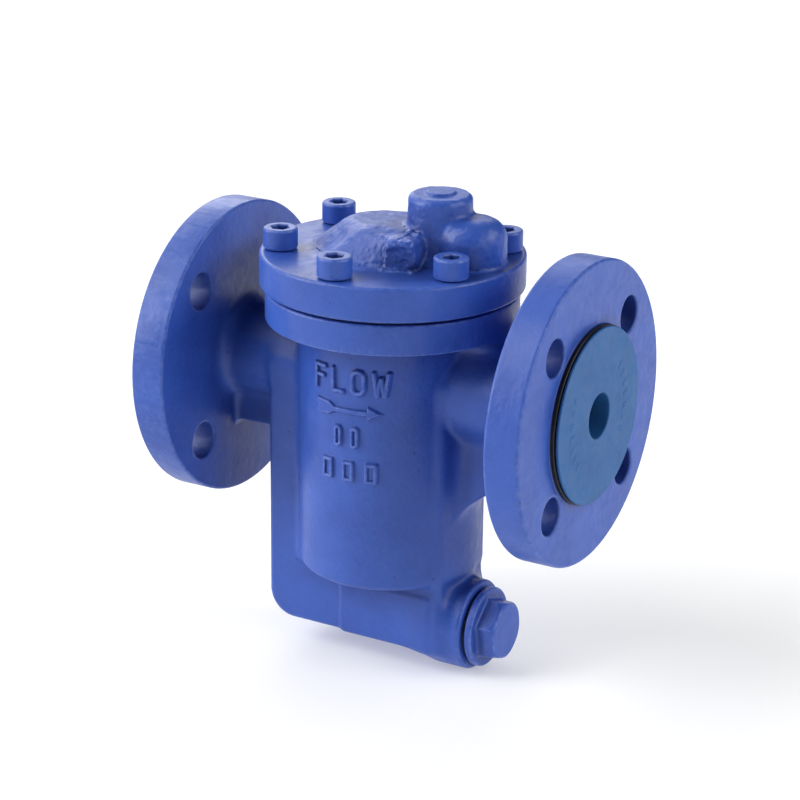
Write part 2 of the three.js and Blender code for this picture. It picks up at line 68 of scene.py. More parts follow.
# Sizes in millimetres, as in the CAD model.
FLANGE_R, FLANGE_BACK, FLANGE_FRONT = 57.5, 68.0, 82.0
FACE_R, FACE_X = 33.7, 84.0
BOLT_OFFSET = 42.5 / math.sqrt(2)
BOLT_HOLE_R, BOLT_HOLE_START = 7.0, 60.0
NECK_R, NECK_FILLET, NECK_START, PORT_R = 17.5, 6.5, 20.0, 12.5
VESSEL_X, VESSEL_R, VESSEL_BOTTOM = -2.0, 35.0, -75.0
CHAMBER_R, CHAMBER_FLOOR = 29.5, -70.0
RIM_R, RIM_BOTTOM, RIM_TOP = 48.0, 23.2, 35.0
COVER_R, COVER_BOTTOM, COVER_TOP = 50.0, 36.0, 49.5
SCREW_CIRCLE_R, SCREW_COUNT = 42.0, 6
SEAT_X = 14.0
RISER_X = 10.0
DROP_X, DROP_R = 37.5, 4.5

# The inlet duct outside, the pad under it, and the passage inside.
DUCT_LEFT, DUCT_RIGHT, DUCT_BOTTOM, DUCT_HALF = -46.8, 29.8, -102.5, 17.5
DUCT_TOP, DUCT_CORNER_R = 6.0, 11.0
PAD_LOW, PAD_HIGH = (-15, -18.2, -103.2), (26.5, 18.2, -79)
PASSAGE_LOW = (-42.3, -11.5, -98)
PASSAGE_DOWN_HIGH, PASSAGE_ALONG_HIGH = (-35, 11.5, 8), (10, 11.5, -84.5)
INLET_BORE_END, OUTLET_BORE_START, BORE_PAST = -38.0, 32.0, 92.0

# Drain boss, strainer and the ports that lead from it to the riser tube.
DRAIN_Z, DRAIN_R, DRAIN_FACE, BULB_X = -94.5, 17.5, 38.0, 26.0
SCREEN_BORE_R, SCREEN_X, SCREEN_R = 11.0, 16.5, 9.5
SCREEN_MOUTH_R, SCREEN_MOUTH_X = 7.0, 8.0
SCREEN_PORT_X, SCREEN_PORT_R, SCREEN_PORT_BOTTOM, SCREEN_PORT_TOP = 20.5, 3.5, -88.0, -77.0
RISING_PORT_LOW, RISING_PORT_HIGH = (6.5, -3.5, -81.5), (24, 3.5, -76)
RISER_HOLE_R, RISER_HOLE_BOTTOM = 4.3, -78.0

# Ribs under the necks, and the boss round the outlet's drop.
INLET_RIB_LOW, INLET_RIB_HIGH = (-72, -8, -28), (-42, 8, -8)
RIB_FOOT_X, RIB_FOOT_Z, RIB_RUN, RIB_RISE, RIB_SLANT = 33.0, -46.0, 33.0, 26.0, 42.0
RIB_START, RIB_END, RIB_HALF, RIB_MIDDLE_Z, RIB_HALF_HEIGHT = 24.0, 72.0, 8.0, -28.0, 20.0
DROP_BOSS_R, DROP_BOSS_BOTTOM = 9.5, 6.0

# Holes for the cover screws, in the body and in the cover.
TAPPED_R, TAPPED_BOTTOM, CLEARANCE_R = 4.2, 25.0, 4.4


# ------------------------------------------------------- distance functions

def least(a, b, k):
    """Union of two distances with a fillet about k wide."""
    if k <= 0:
        return np.minimum(a, b)
    h = np.maximum(k - np.abs(a - b), 0.0) / k
    return np.minimum(a, b) - h * h * (k * 0.25)


def most(a, b, k):
    """Intersection of two distances with an edge rounded about k wide."""
    return -least(-a, -b, k)


def corner(u, v, r):
    """Both u < 0 and v < 0, with the edge between them rounded to radius r."""
    u, v = u + r, v + r
    outside = np.hypot(np.maximum(u, 0), np.maximum(v, 0))
    return np.minimum(np.maximum(u, v), 0) + outside - r


def disc(radial, along, radius, low, high, r):
    """A round bar from low to high along its axis, with edges of radius r."""
    return corner(radial - radius, np.abs(along - (low + high) / 2) - (high - low) / 2, r)


def block(p, low, high, r):
    """A box with edges of radius r."""
    low, high = np.array(low, np.float32), np.array(high, np.float32)
    q = np.abs(p - (low + high) / 2) - (high - low) / 2 + r
    outside = np.sqrt((np.maximum(q, 0) ** 2).sum(1))
    return np.minimum(q.max(1), 0) + outside - r


def hexagon(across, along, half):
    """A hexagonal bar; half is half its width across the two flats that face along across."""
    return np.maximum(across, along * math.cos(math.pi / 6) + across * 0.5) - half


def stroke(x, z, a, b):
    """Distance in the XZ plane from the segment a-b."""
    dx, dz = b[0] - a[0], b[1] - a[1]
    t = np.clip(((x - a[0]) * dx + (z - a[1]) * dz) / (dx * dx + dz * dz), 0, 1)
    return np.hypot(x - a[0] - t * dx, z - a[1] - t * dz)


def rod(p, a, b):
    """Distance from the segment a-b."""
    a, b = np.array(a, np.float32), np.array(b, np.float32)
    t = np.clip((p - a) @ (b - a) / ((b - a) @ (b - a)), 0, 1)
    return np.linalg.norm(p - a - t[:, None] * (b - a), axis=1)


LATTICE = 32
LATTICE_SHIFT = 100.37
CUBE_CORNERS = [(i, j, k) for i in (0, 1) for j in (0, 1) for k in (0, 1)]


def lumps(p, size, seed):
    """Smooth random values from -1 to 1 that change over about size millimetres."""
    shape = (LATTICE, LATTICE, LATTICE)
    lattice = np.random.default_rng(seed).uniform(-1, 1, shape).astype(np.float32)
    q = p / size + LATTICE_SHIFT
    base = np.floor(q).astype(int)
    t = q - base
    t = t * t * (3 - 2 * t)
    total = np.zeros(len(p), np.float32)
    for corner_at in CUBE_CORNERS:
        near = lattice[tuple(((base + corner_at) % LATTICE).T)]
        wx, wy, wz = (t[:, a] if bit else 1 - t[:, a] for a, bit in enumerate(corner_at))
        total += near * wx * wy * wz
    return total


def shoulder(d, width):
    """1 well inside a mark (d < -width), 0 outside it (d > width), smooth between."""
    t = np.clip((width - d) / (2 * width), 0, 1)
    return t * t * (3 - 2 * t)


# ------------------------------------------------------------ raised marks

LETTERS = {
    "F": [((0, 0), (0, 8.4)), ((0, 8.4), (4.4, 8.4)), ((0, 4.6), (3.6, 4.6))],
    "L": [((0, 0), (0, 8.4)), ((0, 0), (4.3, 0))],
    "O": [],
    "W": [((0, 8.4), (1.3, 0)), ((1.3, 0), (2.6, 6.4)), ((2.6, 6.4), (3.9, 0)), ((3.9, 0), (5.2, 8.4))],
}
LETTER_LEFT, LETTER_BASE, LETTER_PITCH, LETTER_HALF_STROKE = -14.8, 3.8, 8.2, 0.86
O_HALF_WIDTH, O_HALF_HEIGHT, O_CORNER_R = 2.3, 4.2, 2.1
MARK_RISE = 1.35
MARKS_TOP, MARKS_BOTTOM = 18.0, -36.0

ARROW_Z, ARROW_TIP_X, ARROW_HEAD_X = -3.6, 13.0, 7.4
SHAFT_FROM_X, SHAFT_TO_X, SHAFT_HALF = -6.0, 9.0, 1.05
ARROW_FIN_X, ARROW_FIN_HALF = (-14.4, -8.4, -5.6), (3.2, 2.6, 1.0)
FIN_MIDDLE_X, FIN_HALF_LENGTH, NOTCH_X = -10.0, 4.4, -13.6

ROUND_PADS_X, ROUND_PADS_Z, ROUND_PADS_R = (-4.4, 2.6), (-16.1, -11.3), 1.9
SQUARE_PADS_X, SQUARE_PADS_Z = (-9, 0, 9), -27.3
SQUARE_PADS_HALF_WIDTH, SQUARE_PADS_HALF_HEIGHT = 2.5, 4.1


def relief(x, z):
    """Height from 0 to 1 of the raised marks: the word FLOW, an arrow and rows of pads."""
    line = np.full_like(x, 1e3)
    for k, letter in enumerate("FLOW"):
        ox, oz = LETTER_LEFT + LETTER_PITCH * k, LETTER_BASE
        for a, b in LETTERS[letter]:
            line = np.minimum(line, stroke(x, z, (a[0] + ox, a[1] + oz), (b[0] + ox, b[1] + oz)))
        if letter == "O":
            wide = np.abs(x - ox - O_HALF_WIDTH) - O_HALF_WIDTH
            tall = np.abs(z - oz - O_HALF_HEIGHT) - O_HALF_HEIGHT
            line = np.minimum(line, np.abs(corner(wide, tall, O_CORNER_R)))
    height = shoulder(line - LETTER_HALF_STROKE, 0.5)

    off_axis = np.abs(z - ARROW_Z)
    shaft = stroke(x, z, (SHAFT_FROM_X, ARROW_Z), (SHAFT_TO_X, ARROW_Z)) - SHAFT_HALF
    head = np.maximum(off_axis * 0.9 + (x - ARROW_TIP_X) * 0.44, ARROW_HEAD_X - x)
    half = np.interp(x, ARROW_FIN_X, ARROW_FIN_HALF)
    fin = np.maximum(off_axis - half, np.abs(x - FIN_MIDDLE_X) - FIN_HALF_LENGTH)
    notch = off_axis * 0.6 + (x - NOTCH_X) * 0.8
    fin = np.maximum(fin, -notch)
    arrow = np.minimum(np.minimum(shaft, head), fin)
    height = np.maximum(height, 0.9 * shoulder(arrow + 0.1, 0.45))

    pads = np.full_like(x, 1e3)
    low, high = ROUND_PADS_Z
    for cx in ROUND_PADS_X:
        pads = np.minimum(pads, stroke(x, z, (cx, low), (cx, high)) - ROUND_PADS_R)
    for cx in SQUARE_PADS_X:
        wide = np.abs(x - cx) - SQUARE_PADS_HALF_WIDTH
        tall = np.abs(z - SQUARE_PADS_Z) - SQUARE_PADS_HALF_HEIGHT
        pads = np.minimum(pads, corner(wide, tall, 0.9))
    ridge = shoulder(np.abs(pads + 0.85) - 0.75, 0.5)
    return np.maximum(height, np.maximum(ridge, 0.35 * shoulder(pads + 0.7, 0.5)))


# ------------------------------------------------------------ body casting

def body_distance(p):
    x, y, z = p[:, 0], p[:, 1], p[:, 2]
    ax = np.abs(x)
    pipe = np.hypot(y, z)
    around = np.hypot(x - VESSEL_X, y)
    drain = np.hypot(y, z - DRAIN_Z)

    ends = least(
        disc(pipe, ax, FLANGE_R, FLANGE_BACK, FLANGE_FRONT, 1.1),
        disc(pipe, ax, NECK_R, NECK_START, FLANGE_BACK + 4, 1),
        NECK_FILLET,
    )
    ends = least(ends, disc(pipe, ax, FACE_R, FLANGE_BACK + 4, FACE_X, 0.5), 0.6)

    vessel = least(
        disc(around, z, VESSEL_R, VESSEL_BOTTOM, RIM_BOTTOM + 5, 2.6),
        disc(around, z, RIM_R, RIM_BOTTOM, RIM_TOP - 0.1, 0.9),
        4,
    )
    front = (y < 0) & (around > VESSEL_R - 4) & (z < MARKS_TOP) & (z > MARKS_BOTTOM)
    mark = np.zeros_like(x)
    mark[front] = relief(x[front], z[front])
    vessel = vessel - MARK_RISE * mark

    side = corner(DUCT_LEFT - x, DUCT_BOTTOM - z, DUCT_CORNER_R)
    side = most(most(side, x - DUCT_RIGHT, 3), z - DUCT_TOP, 3)
    duct = corner(side, np.abs(y) - DUCT_HALF, 2.4)
    duct = least(duct, block(p, PAD_LOW, PAD_HIGH, 2.6), 0.8)

    bulb = np.sqrt(drain ** 2 + np.minimum(x - BULB_X, 0) ** 2) - DRAIN_R
    boss = corner(bulb, x - DRAIN_FACE, 1.4)

    inlet_rib = block(p, INLET_RIB_LOW, INLET_RIB_HIGH, 1.2)
    slope = ((x - RIB_FOOT_X) * RIB_RISE - (z - RIB_FOOT_Z) * RIB_RUN) / RIB_SLANT
    ends_of_rib = np.maximum(np.abs(z - RIB_MIDDLE_Z) - RIB_HALF_HEIGHT, RIB_START - x)
    outlet_rib = most(most(slope, ends_of_rib, 2), np.abs(y) - RIB_HALF, 2.4)
    outlet_rib = np.maximum(outlet_rib, x - RIB_END)
    rise = disc(np.hypot(x - DROP_X, y), z, DROP_BOSS_R, DROP_BOSS_BOTTOM, RIM_BOTTOM + 3, 2)

    d = least(vessel, duct, 3.0)
    d = least(d, boss, 6)
    d = least(d, ends, 2.6)
    d = least(d, inlet_rib, 3.4)
    d = least(d, outlet_rib, 5)
    d = least(d, rise, 6)
    return cut_body(d, p, ax, pipe, around, drain)


def cut_body(d, p, ax, pipe, around, drain):
    """Takes the ports, passages, chamber and holes out of the body."""
    x, y, z = p[:, 0], p[:, 1], p[:, 2]
    above = RIM_TOP + 8
    hollow = np.minimum(
        np.maximum(pipe - PORT_R, np.maximum(x - INLET_BORE_END, -BORE_PAST - x)),
        np.maximum(pipe - PORT_R, np.maximum(OUTLET_BORE_START - x, x - BORE_PAST)),
    )
    parts = (
        block(p, PASSAGE_LOW, PASSAGE_DOWN_HIGH, 1),
        block(p, PASSAGE_LOW, PASSAGE_ALONG_HIGH, 1),
        disc(drain, x, SCREEN_MOUTH_R, SCREEN_MOUTH_X, SCREEN_X + 2, 0),
        disc(drain, x, SCREEN_BORE_R, SCREEN_X, DRAIN_FACE + 6, 0),
        block(p, RISING_PORT_LOW, RISING_PORT_HIGH, 0.5),
        disc(np.hypot(x - SCREEN_PORT_X, y), z, SCREEN_PORT_R, SCREEN_PORT_BOTTOM, SCREEN_PORT_TOP, 0),
        disc(np.hypot(x - RISER_X, y), z, RISER_HOLE_R, RISER_HOLE_BOTTOM, CHAMBER_FLOOR + 2, 0),
        disc(around, z, CHAMBER_R, CHAMBER_FLOOR, above, 2),
        disc(np.hypot(x - DROP_X, y), z, DROP_R, 0, above, 0),
    )
    for part in parts:
        hollow = np.minimum(hollow, part)
    d = most(d, -hollow, 0.8)
    hole = np.hypot(np.abs(y) - BOLT_OFFSET, np.abs(z) - BOLT_OFFSET) - BOLT_HOLE_R
    d = most(d, -np.maximum(hole, BOLT_HOLE_START - ax), 1.2)
    for sx, sy in screw_places():
        tapped = np.hypot(x - sx, y - sy) - TAPPED_R
        d = np.maximum(d, -np.maximum(tapped, TAPPED_BOTTOM - z))
    return d


def screw_places():
    """The (x, y) of the six cover screws."""
    angles = [math.radians(30 + 60 * k) for k in range(SCREW_COUNT)]
    return [(VESSEL_X + SCREW_CIRCLE_R * math.cos(a), SCREW_CIRCLE_R * math.sin(a)) for a in angles]


# ----------------------------------------------------------- cover casting

# The dome is a mound stretched along X. Its front is cut by a face whose top and bottom edges
# lie at y = CREST_Y + CREST_TILT x and y = FOOT_Y + FOOT_TILT x.
DOME_X, DOME_TOP, DOME_STRETCH, DOME_FOOT_R, DOME_TAPER = -1.0, 60.8, 1.3, 25.5, 11.0
DOME_BURIED_Z, DOME_LIMIT_R = 46.0, 44.0
CREST_Y, CREST_TILT, FOOT_Y, FOOT_TILT = -19.5, -0.28, -26.5, 0.25
FACE_LEFT, FACE_MIDDLE_Y, FACE_RIGHT = -8.6, -20.0, 12.0
SCUFF_GRAIN = np.array((0.60, 0.50, 0.24), np.float32)

BOSS_X, BOSS_R, BOSS_BOTTOM, BOSS_TOP, BOSS_DRAFT = 18.0, 12.4, 44.0, 74.0, 0.02
SPOT_R, SPOT_BOTTOM = 5.3, 60.0
HUMP_X, HUMP_R, HUMP_BOTTOM, HUMP_TOP, HUMP_EDGE = 31.3, 13.0, 40.0, 66.8, 8.0

LUG_LEFT, LUG_FRONT, LUG_RIGHT = 8.8, -27.0, 20.4
LUG_LOW, LUG_HIGH = (LUG_LEFT, LUG_FRONT, 44), (LUG_RIGHT, -8, DOME_TOP)
DENT_X, DENT_Z, DENT_HALF_WIDTH, DENT_HALF_HEIGHT, DENT_DEPTH = 14.2, 55.0, 4.4, 4.2, 0.45

# Thick paint that ran and set: segments of a line, each with its radius.
PAINT_RIDGES = [
    ((5.6, -5.0, 60.8), (8.4, -9.4, 60.9), 0.75),
    ((8.4, -9.4, 60.9), (12.4, -12.4, 61.0), 0.9),
    ((12.4, -12.4, 61.0), (16.4, -13.6, 60.9), 0.8),
    ((9.0, -26.6, 49.6), (19.0, -23.8, 49.6), 0.75),
    ((5.0, -25.6, 49.6), (8.6, -26.2, 49.6), 0.5),
]

CAVITY_X, CAVITY_R, CAVITY_END, CAVITY_TOP, CAVITY_BOTTOM = -11.0, 13.0, 2.0, 52.5, 30.0
SEAT_BORE_R, SEAT_BORE_TOP, RISE_R, CROSS_R, CROSS_Z, CROSS_TOP = 6.3, 50.0, 3.0, 4.0, 58.0, 60.0
BRACKET_SCREW_X, BRACKET_SCREW_Y, BRACKET_HOLE_R, BRACKET_HOLE_TOP = 8.5, 9.4, 1.8, 43.0


def dome_distance(x, y, z, p, around):
    """A flat-topped mound, long towards the inlet, with a steep rough front."""
    height = DOME_TOP - COVER_TOP
    rise = np.clip((z - COVER_TOP) / height, -0.1, 1.1)
    mound = np.hypot((x - DOME_X) / DOME_STRETCH, y) - (DOME_FOOT_R - DOME_TAPER * rise)
    mound = most(mound * 0.72, z - DOME_TOP, 2.2)
    crest, foot = CREST_Y + CREST_TILT * x, FOOT_Y + FOOT_TILT * x
    fall = (DOME_TOP - z) / height
    front = (crest + (foot - crest) * fall - y) * 0.85
    scuffs = 0.17 * lumps(p * SCUFF_GRAIN, 1.0, 5) + 0.10 * lumps(p * SCUFF_GRAIN, 0.45, 6)
    face = most(front + scuffs, z - DOME_TOP, 1.2)
    side = (FACE_LEFT - x) * 0.80 + (z - DOME_TOP) * 0.45 + (y - FACE_MIDDLE_Y) * 0.30
    face = np.maximum(most(face, side, 5.0), np.maximum(x - FACE_RIGHT, y))
    limit = np.maximum(DOME_BURIED_Z - z, around - DOME_LIMIT_R)
    return np.maximum(least(mound, face, 6.0), limit)


def lug_distance(x, y, z, p):
    """The rough lug at the dome's front right: a block with slanted faces and a dent."""
    lug = block(p, LUG_LOW, LUG_HIGH, 1.4)
    lug = most(lug, (x - 8.6) * 0.306 - (y + 26.1) * 0.952, 1.6)
    lug = most(lug, (x - LUG_RIGHT) * 0.985 + (z - COVER_TOP) * 0.17, 1.6)
    lug = most(lug, (z - 59.0) * 0.7 - (y + 25.4) * 0.7, 1.0)
    dent = np.hypot((x - DENT_X) / DENT_HALF_WIDTH, (z - DENT_Z) / DENT_HALF_HEIGHT)
    lug = lug + DENT_DEPTH * shoulder(dent - 0.9, 0.35) * (y < -22)
    return lug + 0.12 * lumps(p * SCUFF_GRAIN, 1.0, 9) + 0.08 * lumps(p, 0.9, 10)


def cover_distance(p):
    x, y, z = p[:, 0], p[:, 1], p[:, 2]
    around = np.hypot(x - VESSEL_X, y)
    from_boss = np.hypot(x - BOSS_X, y)
    plate = disc(around, z, COVER_R, COVER_BOTTOM + 0.3, COVER_TOP, 1.3)
    mound = dome_distance(x, y, z, p, around)
    draft = (BOSS_TOP - z) * BOSS_DRAFT
    boss = disc(from_boss - draft, z, BOSS_R - 0.4, BOSS_BOTTOM, BOSS_TOP, 2.4)
    spot = disc(from_boss, z, SPOT_R, SPOT_BOTTOM, BOSS_TOP + 1, 0.5)
    hump = disc(np.hypot(x - HUMP_X, y), z, HUMP_R, HUMP_BOTTOM, HUMP_TOP, HUMP_EDGE)
    lug = lug_distance(x, y, z, p)

    d = least(plate, mound, 2.2)
    d = least(d, lug, 1.0)
    d = least(d, hump, 2.0)
    d = least(d, boss, 2.2)
    d = least(d, spot, 1.2)
    skin = 0.15 * lumps(p, 3.4, 3) + 0.07 * lumps(p, 1.3, 4)
    d = d + skin * (z > COVER_TOP + 1)
    for a, b, r in PAINT_RIDGES:
        d = least(d, rod(p, a, b) - r + 0.5 * lumps(p, 1.2, 11), 0.9)
    return cut_cover(d, p)


def cut_cover(d, p):
    """Takes the cavity, the valve seat's bore, the outlet passage and the holes out of the cover."""
    x, y, z = p[:, 0], p[:, 1], p[:, 2]
    from_seat, from_drop = np.hypot(x - SEAT_X, y), np.hypot(x - DROP_X, y)
    flat = np.where(x < CAVITY_X, np.hypot(x - CAVITY_X, y), np.abs(y)) - CAVITY_R
    cavity = np.maximum(
        np.maximum(flat, x - CAVITY_END), np.maximum(z - CAVITY_TOP, CAVITY_BOTTOM - z))
    seat = np.maximum(from_seat - SEAT_BORE_R, z - SEAT_BORE_TOP)
    rise = np.maximum(from_seat - RISE_R, z - CROSS_TOP)
    across = np.maximum(
        np.hypot(y, z - CROSS_Z) - CROSS_R, np.maximum(SEAT_X - 2 - x, x - DROP_X - 2))
    drop = np.maximum(from_drop - DROP_R, z - CROSS_TOP)
    hollow = np.minimum(np.minimum(cavity, seat), np.minimum(np.minimum(rise, across), drop))
    for side in (-BRACKET_SCREW_Y, BRACKET_SCREW_Y):
        hole = np.hypot(x - BRACKET_SCREW_X, y - side) - BRACKET_HOLE_R
        hollow = np.minimum(hollow, np.maximum(hole, z - BRACKET_HOLE_TOP))
    for sx, sy in screw_places():
        hollow = np.minimum(hollow, np.hypot(x - sx, y - sy) - CLEARANCE_R)
    return most(d, -hollow, 0.6)


# ------------------------------------------------- fasteners and drain plug

SCREW_HEAD_R, SCREW_HEAD_H, SCREW_R, SCREW_LENGTH = 6.5, 8.0, 3.9, 23.8
SOCKET_HALF, SOCKET_FLOOR = 3.0, 3.5
COLLAR_X, COLLAR_R, COLLAR_THICK = DRAIN_FACE + 1.4, 15.5, 3.0
PLUG_THREAD_X, PLUG_END, PLUG_HALF_FLATS, PLUG_HEAD_HALF = 31.0, 50.0, 10.75, 6.0
PLUG_TURN = math.radians(20)


def screw_distance(p):
    """A cap screw drawn on the Z axis, its head resting at z = 0."""
    x, y, z = p[:, 0], p[:, 1], p[:, 2]
    radial = np.hypot(x, y)
    head = disc(radial, z, SCREW_HEAD_R, 0, SCREW_HEAD_H, 1.0)
    shank = disc(radial, z, SCREW_R, -SCREW_LENGTH, 2, 0.6)
    socket = np.maximum(hexagon(np.abs(y), np.abs(x), SOCKET_HALF), SOCKET_FLOOR - z)
    d = least(head, shank, 0.6)
    return most(d, -socket, 0.9)


def plug_distance(p):
    """The drain plug on its own axis: shank, round collar and chamfered hexagon."""
    x, y, z = p[:, 0], p[:, 1], p[:, 2] - DRAIN_Z
    radial = np.hypot(y, z)
    shank = disc(radial, x, SCREEN_BORE_R - 0.3, PLUG_THREAD_X, COLLAR_X + 1, 0.6)
    washer = disc(radial, x, COLLAR_R, COLLAR_X, COLLAR_X + COLLAR_THICK, 0.9)
    across = np.abs(y * math.cos(PLUG_TURN) - z * math.sin(PLUG_TURN))
    upward = np.abs(z * math.cos(PLUG_TURN) + y * math.sin(PLUG_TURN))
    length = np.abs(x - (PLUG_END - PLUG_HEAD_HALF)) - PLUG_HEAD_HALF
    head = corner(hexagon(upward, across, PLUG_HALF_FLATS), length, 0.7)
    head = most(head, radial * 0.8 + (x - PLUG_END) * 0.6 - 8.6, 0.8)
    d = least(washer, head, 1.6)
    return np.minimum(d, shank)


# The protector's raised ticks stand in two arcs, middle angles in degrees, on one circle.
TICK_R, TICK_PITCH, TICK_HALF_WIDTH, TICK_HALF_LENGTH = 22, math.pi / 15, 1.1, 1.7
TICK_ARCS, TICK_ARC_HALF, TICK_RISE = (4, 184), math.radians(40), 0.2
GRIP_HOLE_R, SPIGOT_X = 8.5, 76.0


def protector_distance(p):
    """The outlet protector: a disc with a spigot in the port and a hole through both."""
    x, y, z = p[:, 0], p[:, 1], p[:, 2]
    radial = np.hypot(y, z)
    plate = disc(radial, x, FACE_R - 0.4, FACE_X + 0.3, FACE_X + 1.5, 0.5)
    spigot = disc(radial, x, PORT_R - 0.3, SPIGOT_X, FACE_X + 1, 0.4)
    d = least(plate, spigot, 0.8)
    angle = np.arctan2(z, y)
    tick = (angle / TICK_PITCH) % 1.0
    wide = np.abs(tick - 0.5) * TICK_PITCH * TICK_R - TICK_HALF_WIDTH
    dash = np.maximum(wide, np.abs(radial - TICK_R) - TICK_HALF_LENGTH)
    for turn in (math.radians(arc) for arc in TICK_ARCS):
        away = np.abs(np.angle(np.exp(1j * (angle - turn))))
        in_arc = np.maximum(dash, (away - TICK_ARC_HALF) * TICK_R)
        d = d - TICK_RISE * shoulder(in_arc, 0.25) * (x > FACE_X + 1)
    return most(d, GRIP_HOLE_R - radial, 0.6)


# --------------------------------------------------------------- inner parts

BUCKET_R, BUCKET_WALL, BUCKET_CROWN, STUD_HOLE_R = 22.0, 1.2, 1.5, 1.9
VENT_OFFSET, VENT_R = 12.0, 1.2
BEAD_R, GROOVE_HEIGHT = 1.0, 9.0
RISER_MIDDLE_R, RISER_HALF_WALL = 3.5, 0.5
SEAT_THREAD_R, THREAD_PITCH, THREAD_DEPTH = 6.0, 1.25, 0.6
SEAT_HALF_FLATS, SEAT_HEAD_HALF, SEAT_RELIEF_R, SEAT_RELIEF_HEIGHT = 6.5, 2.4, 3, 6.8
LIP_R, ORIFICE_R = 2.2, 1.6
SCREEN_HALF_WALL, SCREEN_MIDDLE_X, SCREEN_HALF_LENGTH = 0.35, 23.75, 6.95
SCREEN_PITCH, SCREEN_HOLES_ROUND, SCREEN_HOLE_R = 2.2, 26, 0.62
SCREEN_FIRST_X = 16.8


def middle_and_ends(node):
    """The middle (x, y) of a node and its lowest and highest z, in millimetres."""
    low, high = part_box(node)
    middle = (low + high) / 2 / MM
    return middle.x, middle.y, low.z / MM, high.z / MM


def bucket_distance(p):
    """A deep-drawn cup, open at the bottom, with a rolled rim, a stud hole and a vent hole."""
    cx, cy, rim, top = middle_and_ends("bucket")
    x, z = p[:, 0] - cx, p[:, 2]
    radial = np.hypot(x, p[:, 1] - cy)
    outer = disc(radial, z, BUCKET_R, rim, top, 1.9)
    inner = disc(radial, z, BUCKET_R - BUCKET_WALL, rim - 10, top - BUCKET_CROWN, 1.2)
    shell = np.maximum(outer, -inner)
    bead = np.hypot(radial - BUCKET_R + BEAD_R, z - rim - BEAD_R) - BEAD_R
    groove = np.hypot(radial - BUCKET_R - 0.5, z - rim - GROOVE_HEIGHT) - 1.0
    shell = most(least(shell, bead, 0.5), -groove, 0.5)
    holes = np.minimum(radial - STUD_HOLE_R, np.hypot(x + VENT_OFFSET, p[:, 1] - cy) - VENT_R)
    return most(shell, -np.maximum(holes, top - 4 - z), 0.3)


def riser_distance(p):
    """A plain tube with dressed ends."""
    cx, cy, low, high = middle_and_ends("riser_tube")
    radial = np.hypot(p[:, 0] - cx, p[:, 1] - cy)
    wall = np.abs(radial - RISER_MIDDLE_R) - RISER_HALF_WALL
    return corner(wall, np.abs(p[:, 2] - (low + high) / 2) - (high - low) / 2, 0.3)


def seat_distance(p):
    """The seat: a hexagon below, a thread above and the orifice through both."""
    cx, cy, low, high = middle_and_ends("valve_seat")
    x, y, z = p[:, 0] - cx, p[:, 1] - cy, p[:, 2]
    radial = np.hypot(x, y)
    flats = hexagon(np.abs(x), np.abs(y), SEAT_HALF_FLATS)
    head = corner(flats, np.abs(z - low - SEAT_HEAD_HALF) - SEAT_HEAD_HALF, 0.3)
    head = most(head, (radial - 7.1) * 0.7 + (low - z) * 0.7, 0.3)
    turn = (z / THREAD_PITCH + np.arctan2(y, x) / (2 * math.pi)) % 1.0
    thread = disc(radial, z, SEAT_THREAD_R - 0.05, low + 4, high, 0.5)
    d = np.minimum(head, thread + THREAD_DEPTH * np.abs(2 * turn - 1))
    lip = np.hypot(radial - LIP_R, z - low - 0.1) - 0.5
    d = np.minimum(d, np.maximum(lip, low - z))
    d = most(d, ORIFICE_R - radial, 0.2)
    return np.maximum(d, -np.maximum(radial - SEAT_RELIEF_R, low + SEAT_RELIEF_HEIGHT - z))


def screen_distance(p):
    """The strainer: a thin tube with rows of staggered round holes."""
    x, y, z = p[:, 0], p[:, 1], p[:, 2] - DRAIN_Z
    radial = np.hypot(y, z)
    wall = np.maximum(
        np.abs(radial - SCREEN_R + SCREEN_HALF_WALL) - SCREEN_HALF_WALL,
        np.abs(x - SCREEN_MIDDLE_X) - SCREEN_HALF_LENGTH,
    )
    row = np.floor((x - SCREEN_FIRST_X) / SCREEN_PITCH)
    along = (x - SCREEN_FIRST_X) - (row + 0.5) * SCREEN_PITCH
    turn = np.arctan2(z, y) / (2 * math.pi) * SCREEN_HOLES_ROUND + 0.5 * (row % 2)
    across = (turn - np.round(turn)) * 2 * math.pi * SCREEN_R / SCREEN_HOLES_ROUND
    return np.maximum(wall, SCREEN_HOLE_R - np.hypot(along, across))


# ------------------------------------------------------------ surface maker

BLOCK_CELLS = 4
BATCH = 400000
FAR = 9.0


def sample(distance, low, high, cell):
    """Distances on a grid, worked out only near the surface; elsewhere plus or minus FAR."""
    step = BLOCK_CELLS
    count = np.ceil((np.array(high) - np.array(low)) / (cell * step)).astype(int) + 1
    axes = [low[i] + np.arange(count[i] + 1) * cell * step for i in range(3)]
    grid = np.stack(np.meshgrid(*axes, indexing="ij"), -1).reshape(-1, 3).astype(np.float32)
    rough = distance(grid).reshape(count + 1)
    near = np.full(count, 1e9, np.float32)
    for i, j, k in CUBE_CORNERS:
        part = rough[i:i + count[0], j:j + count[1], k:k + count[2]]
        near = np.minimum(near, np.abs(part))
    active = near < cell * step * 1.05 + 0.3
    sign = np.where(rough[:-1, :-1, :-1] < 0, -FAR, FAR).astype(np.float32)

    def spread(a):
        return a.repeat(step, 0).repeat(step, 1).repeat(step, 2)

    fine = count * step + 1
    values = np.full(fine, FAR, np.float32)
    values[:-1, :-1, :-1] = spread(sign)
    wanted = np.zeros(fine, bool)
    cells = spread(active)
    for i, j, k in CUBE_CORNERS:
        wanted[i:i + cells.shape[0], j:j + cells.shape[1], k:k + cells.shape[2]] |= cells
    index = np.argwhere(wanted)
    points = index.astype(np.float32) * cell + np.array(low, np.float32)
    found = np.empty(len(points), np.float32)
    for start in range(0, len(points), BATCH):
        found[start:start + BATCH] = distance(points[start:start + BATCH])
    values[wanted] = found
    return values


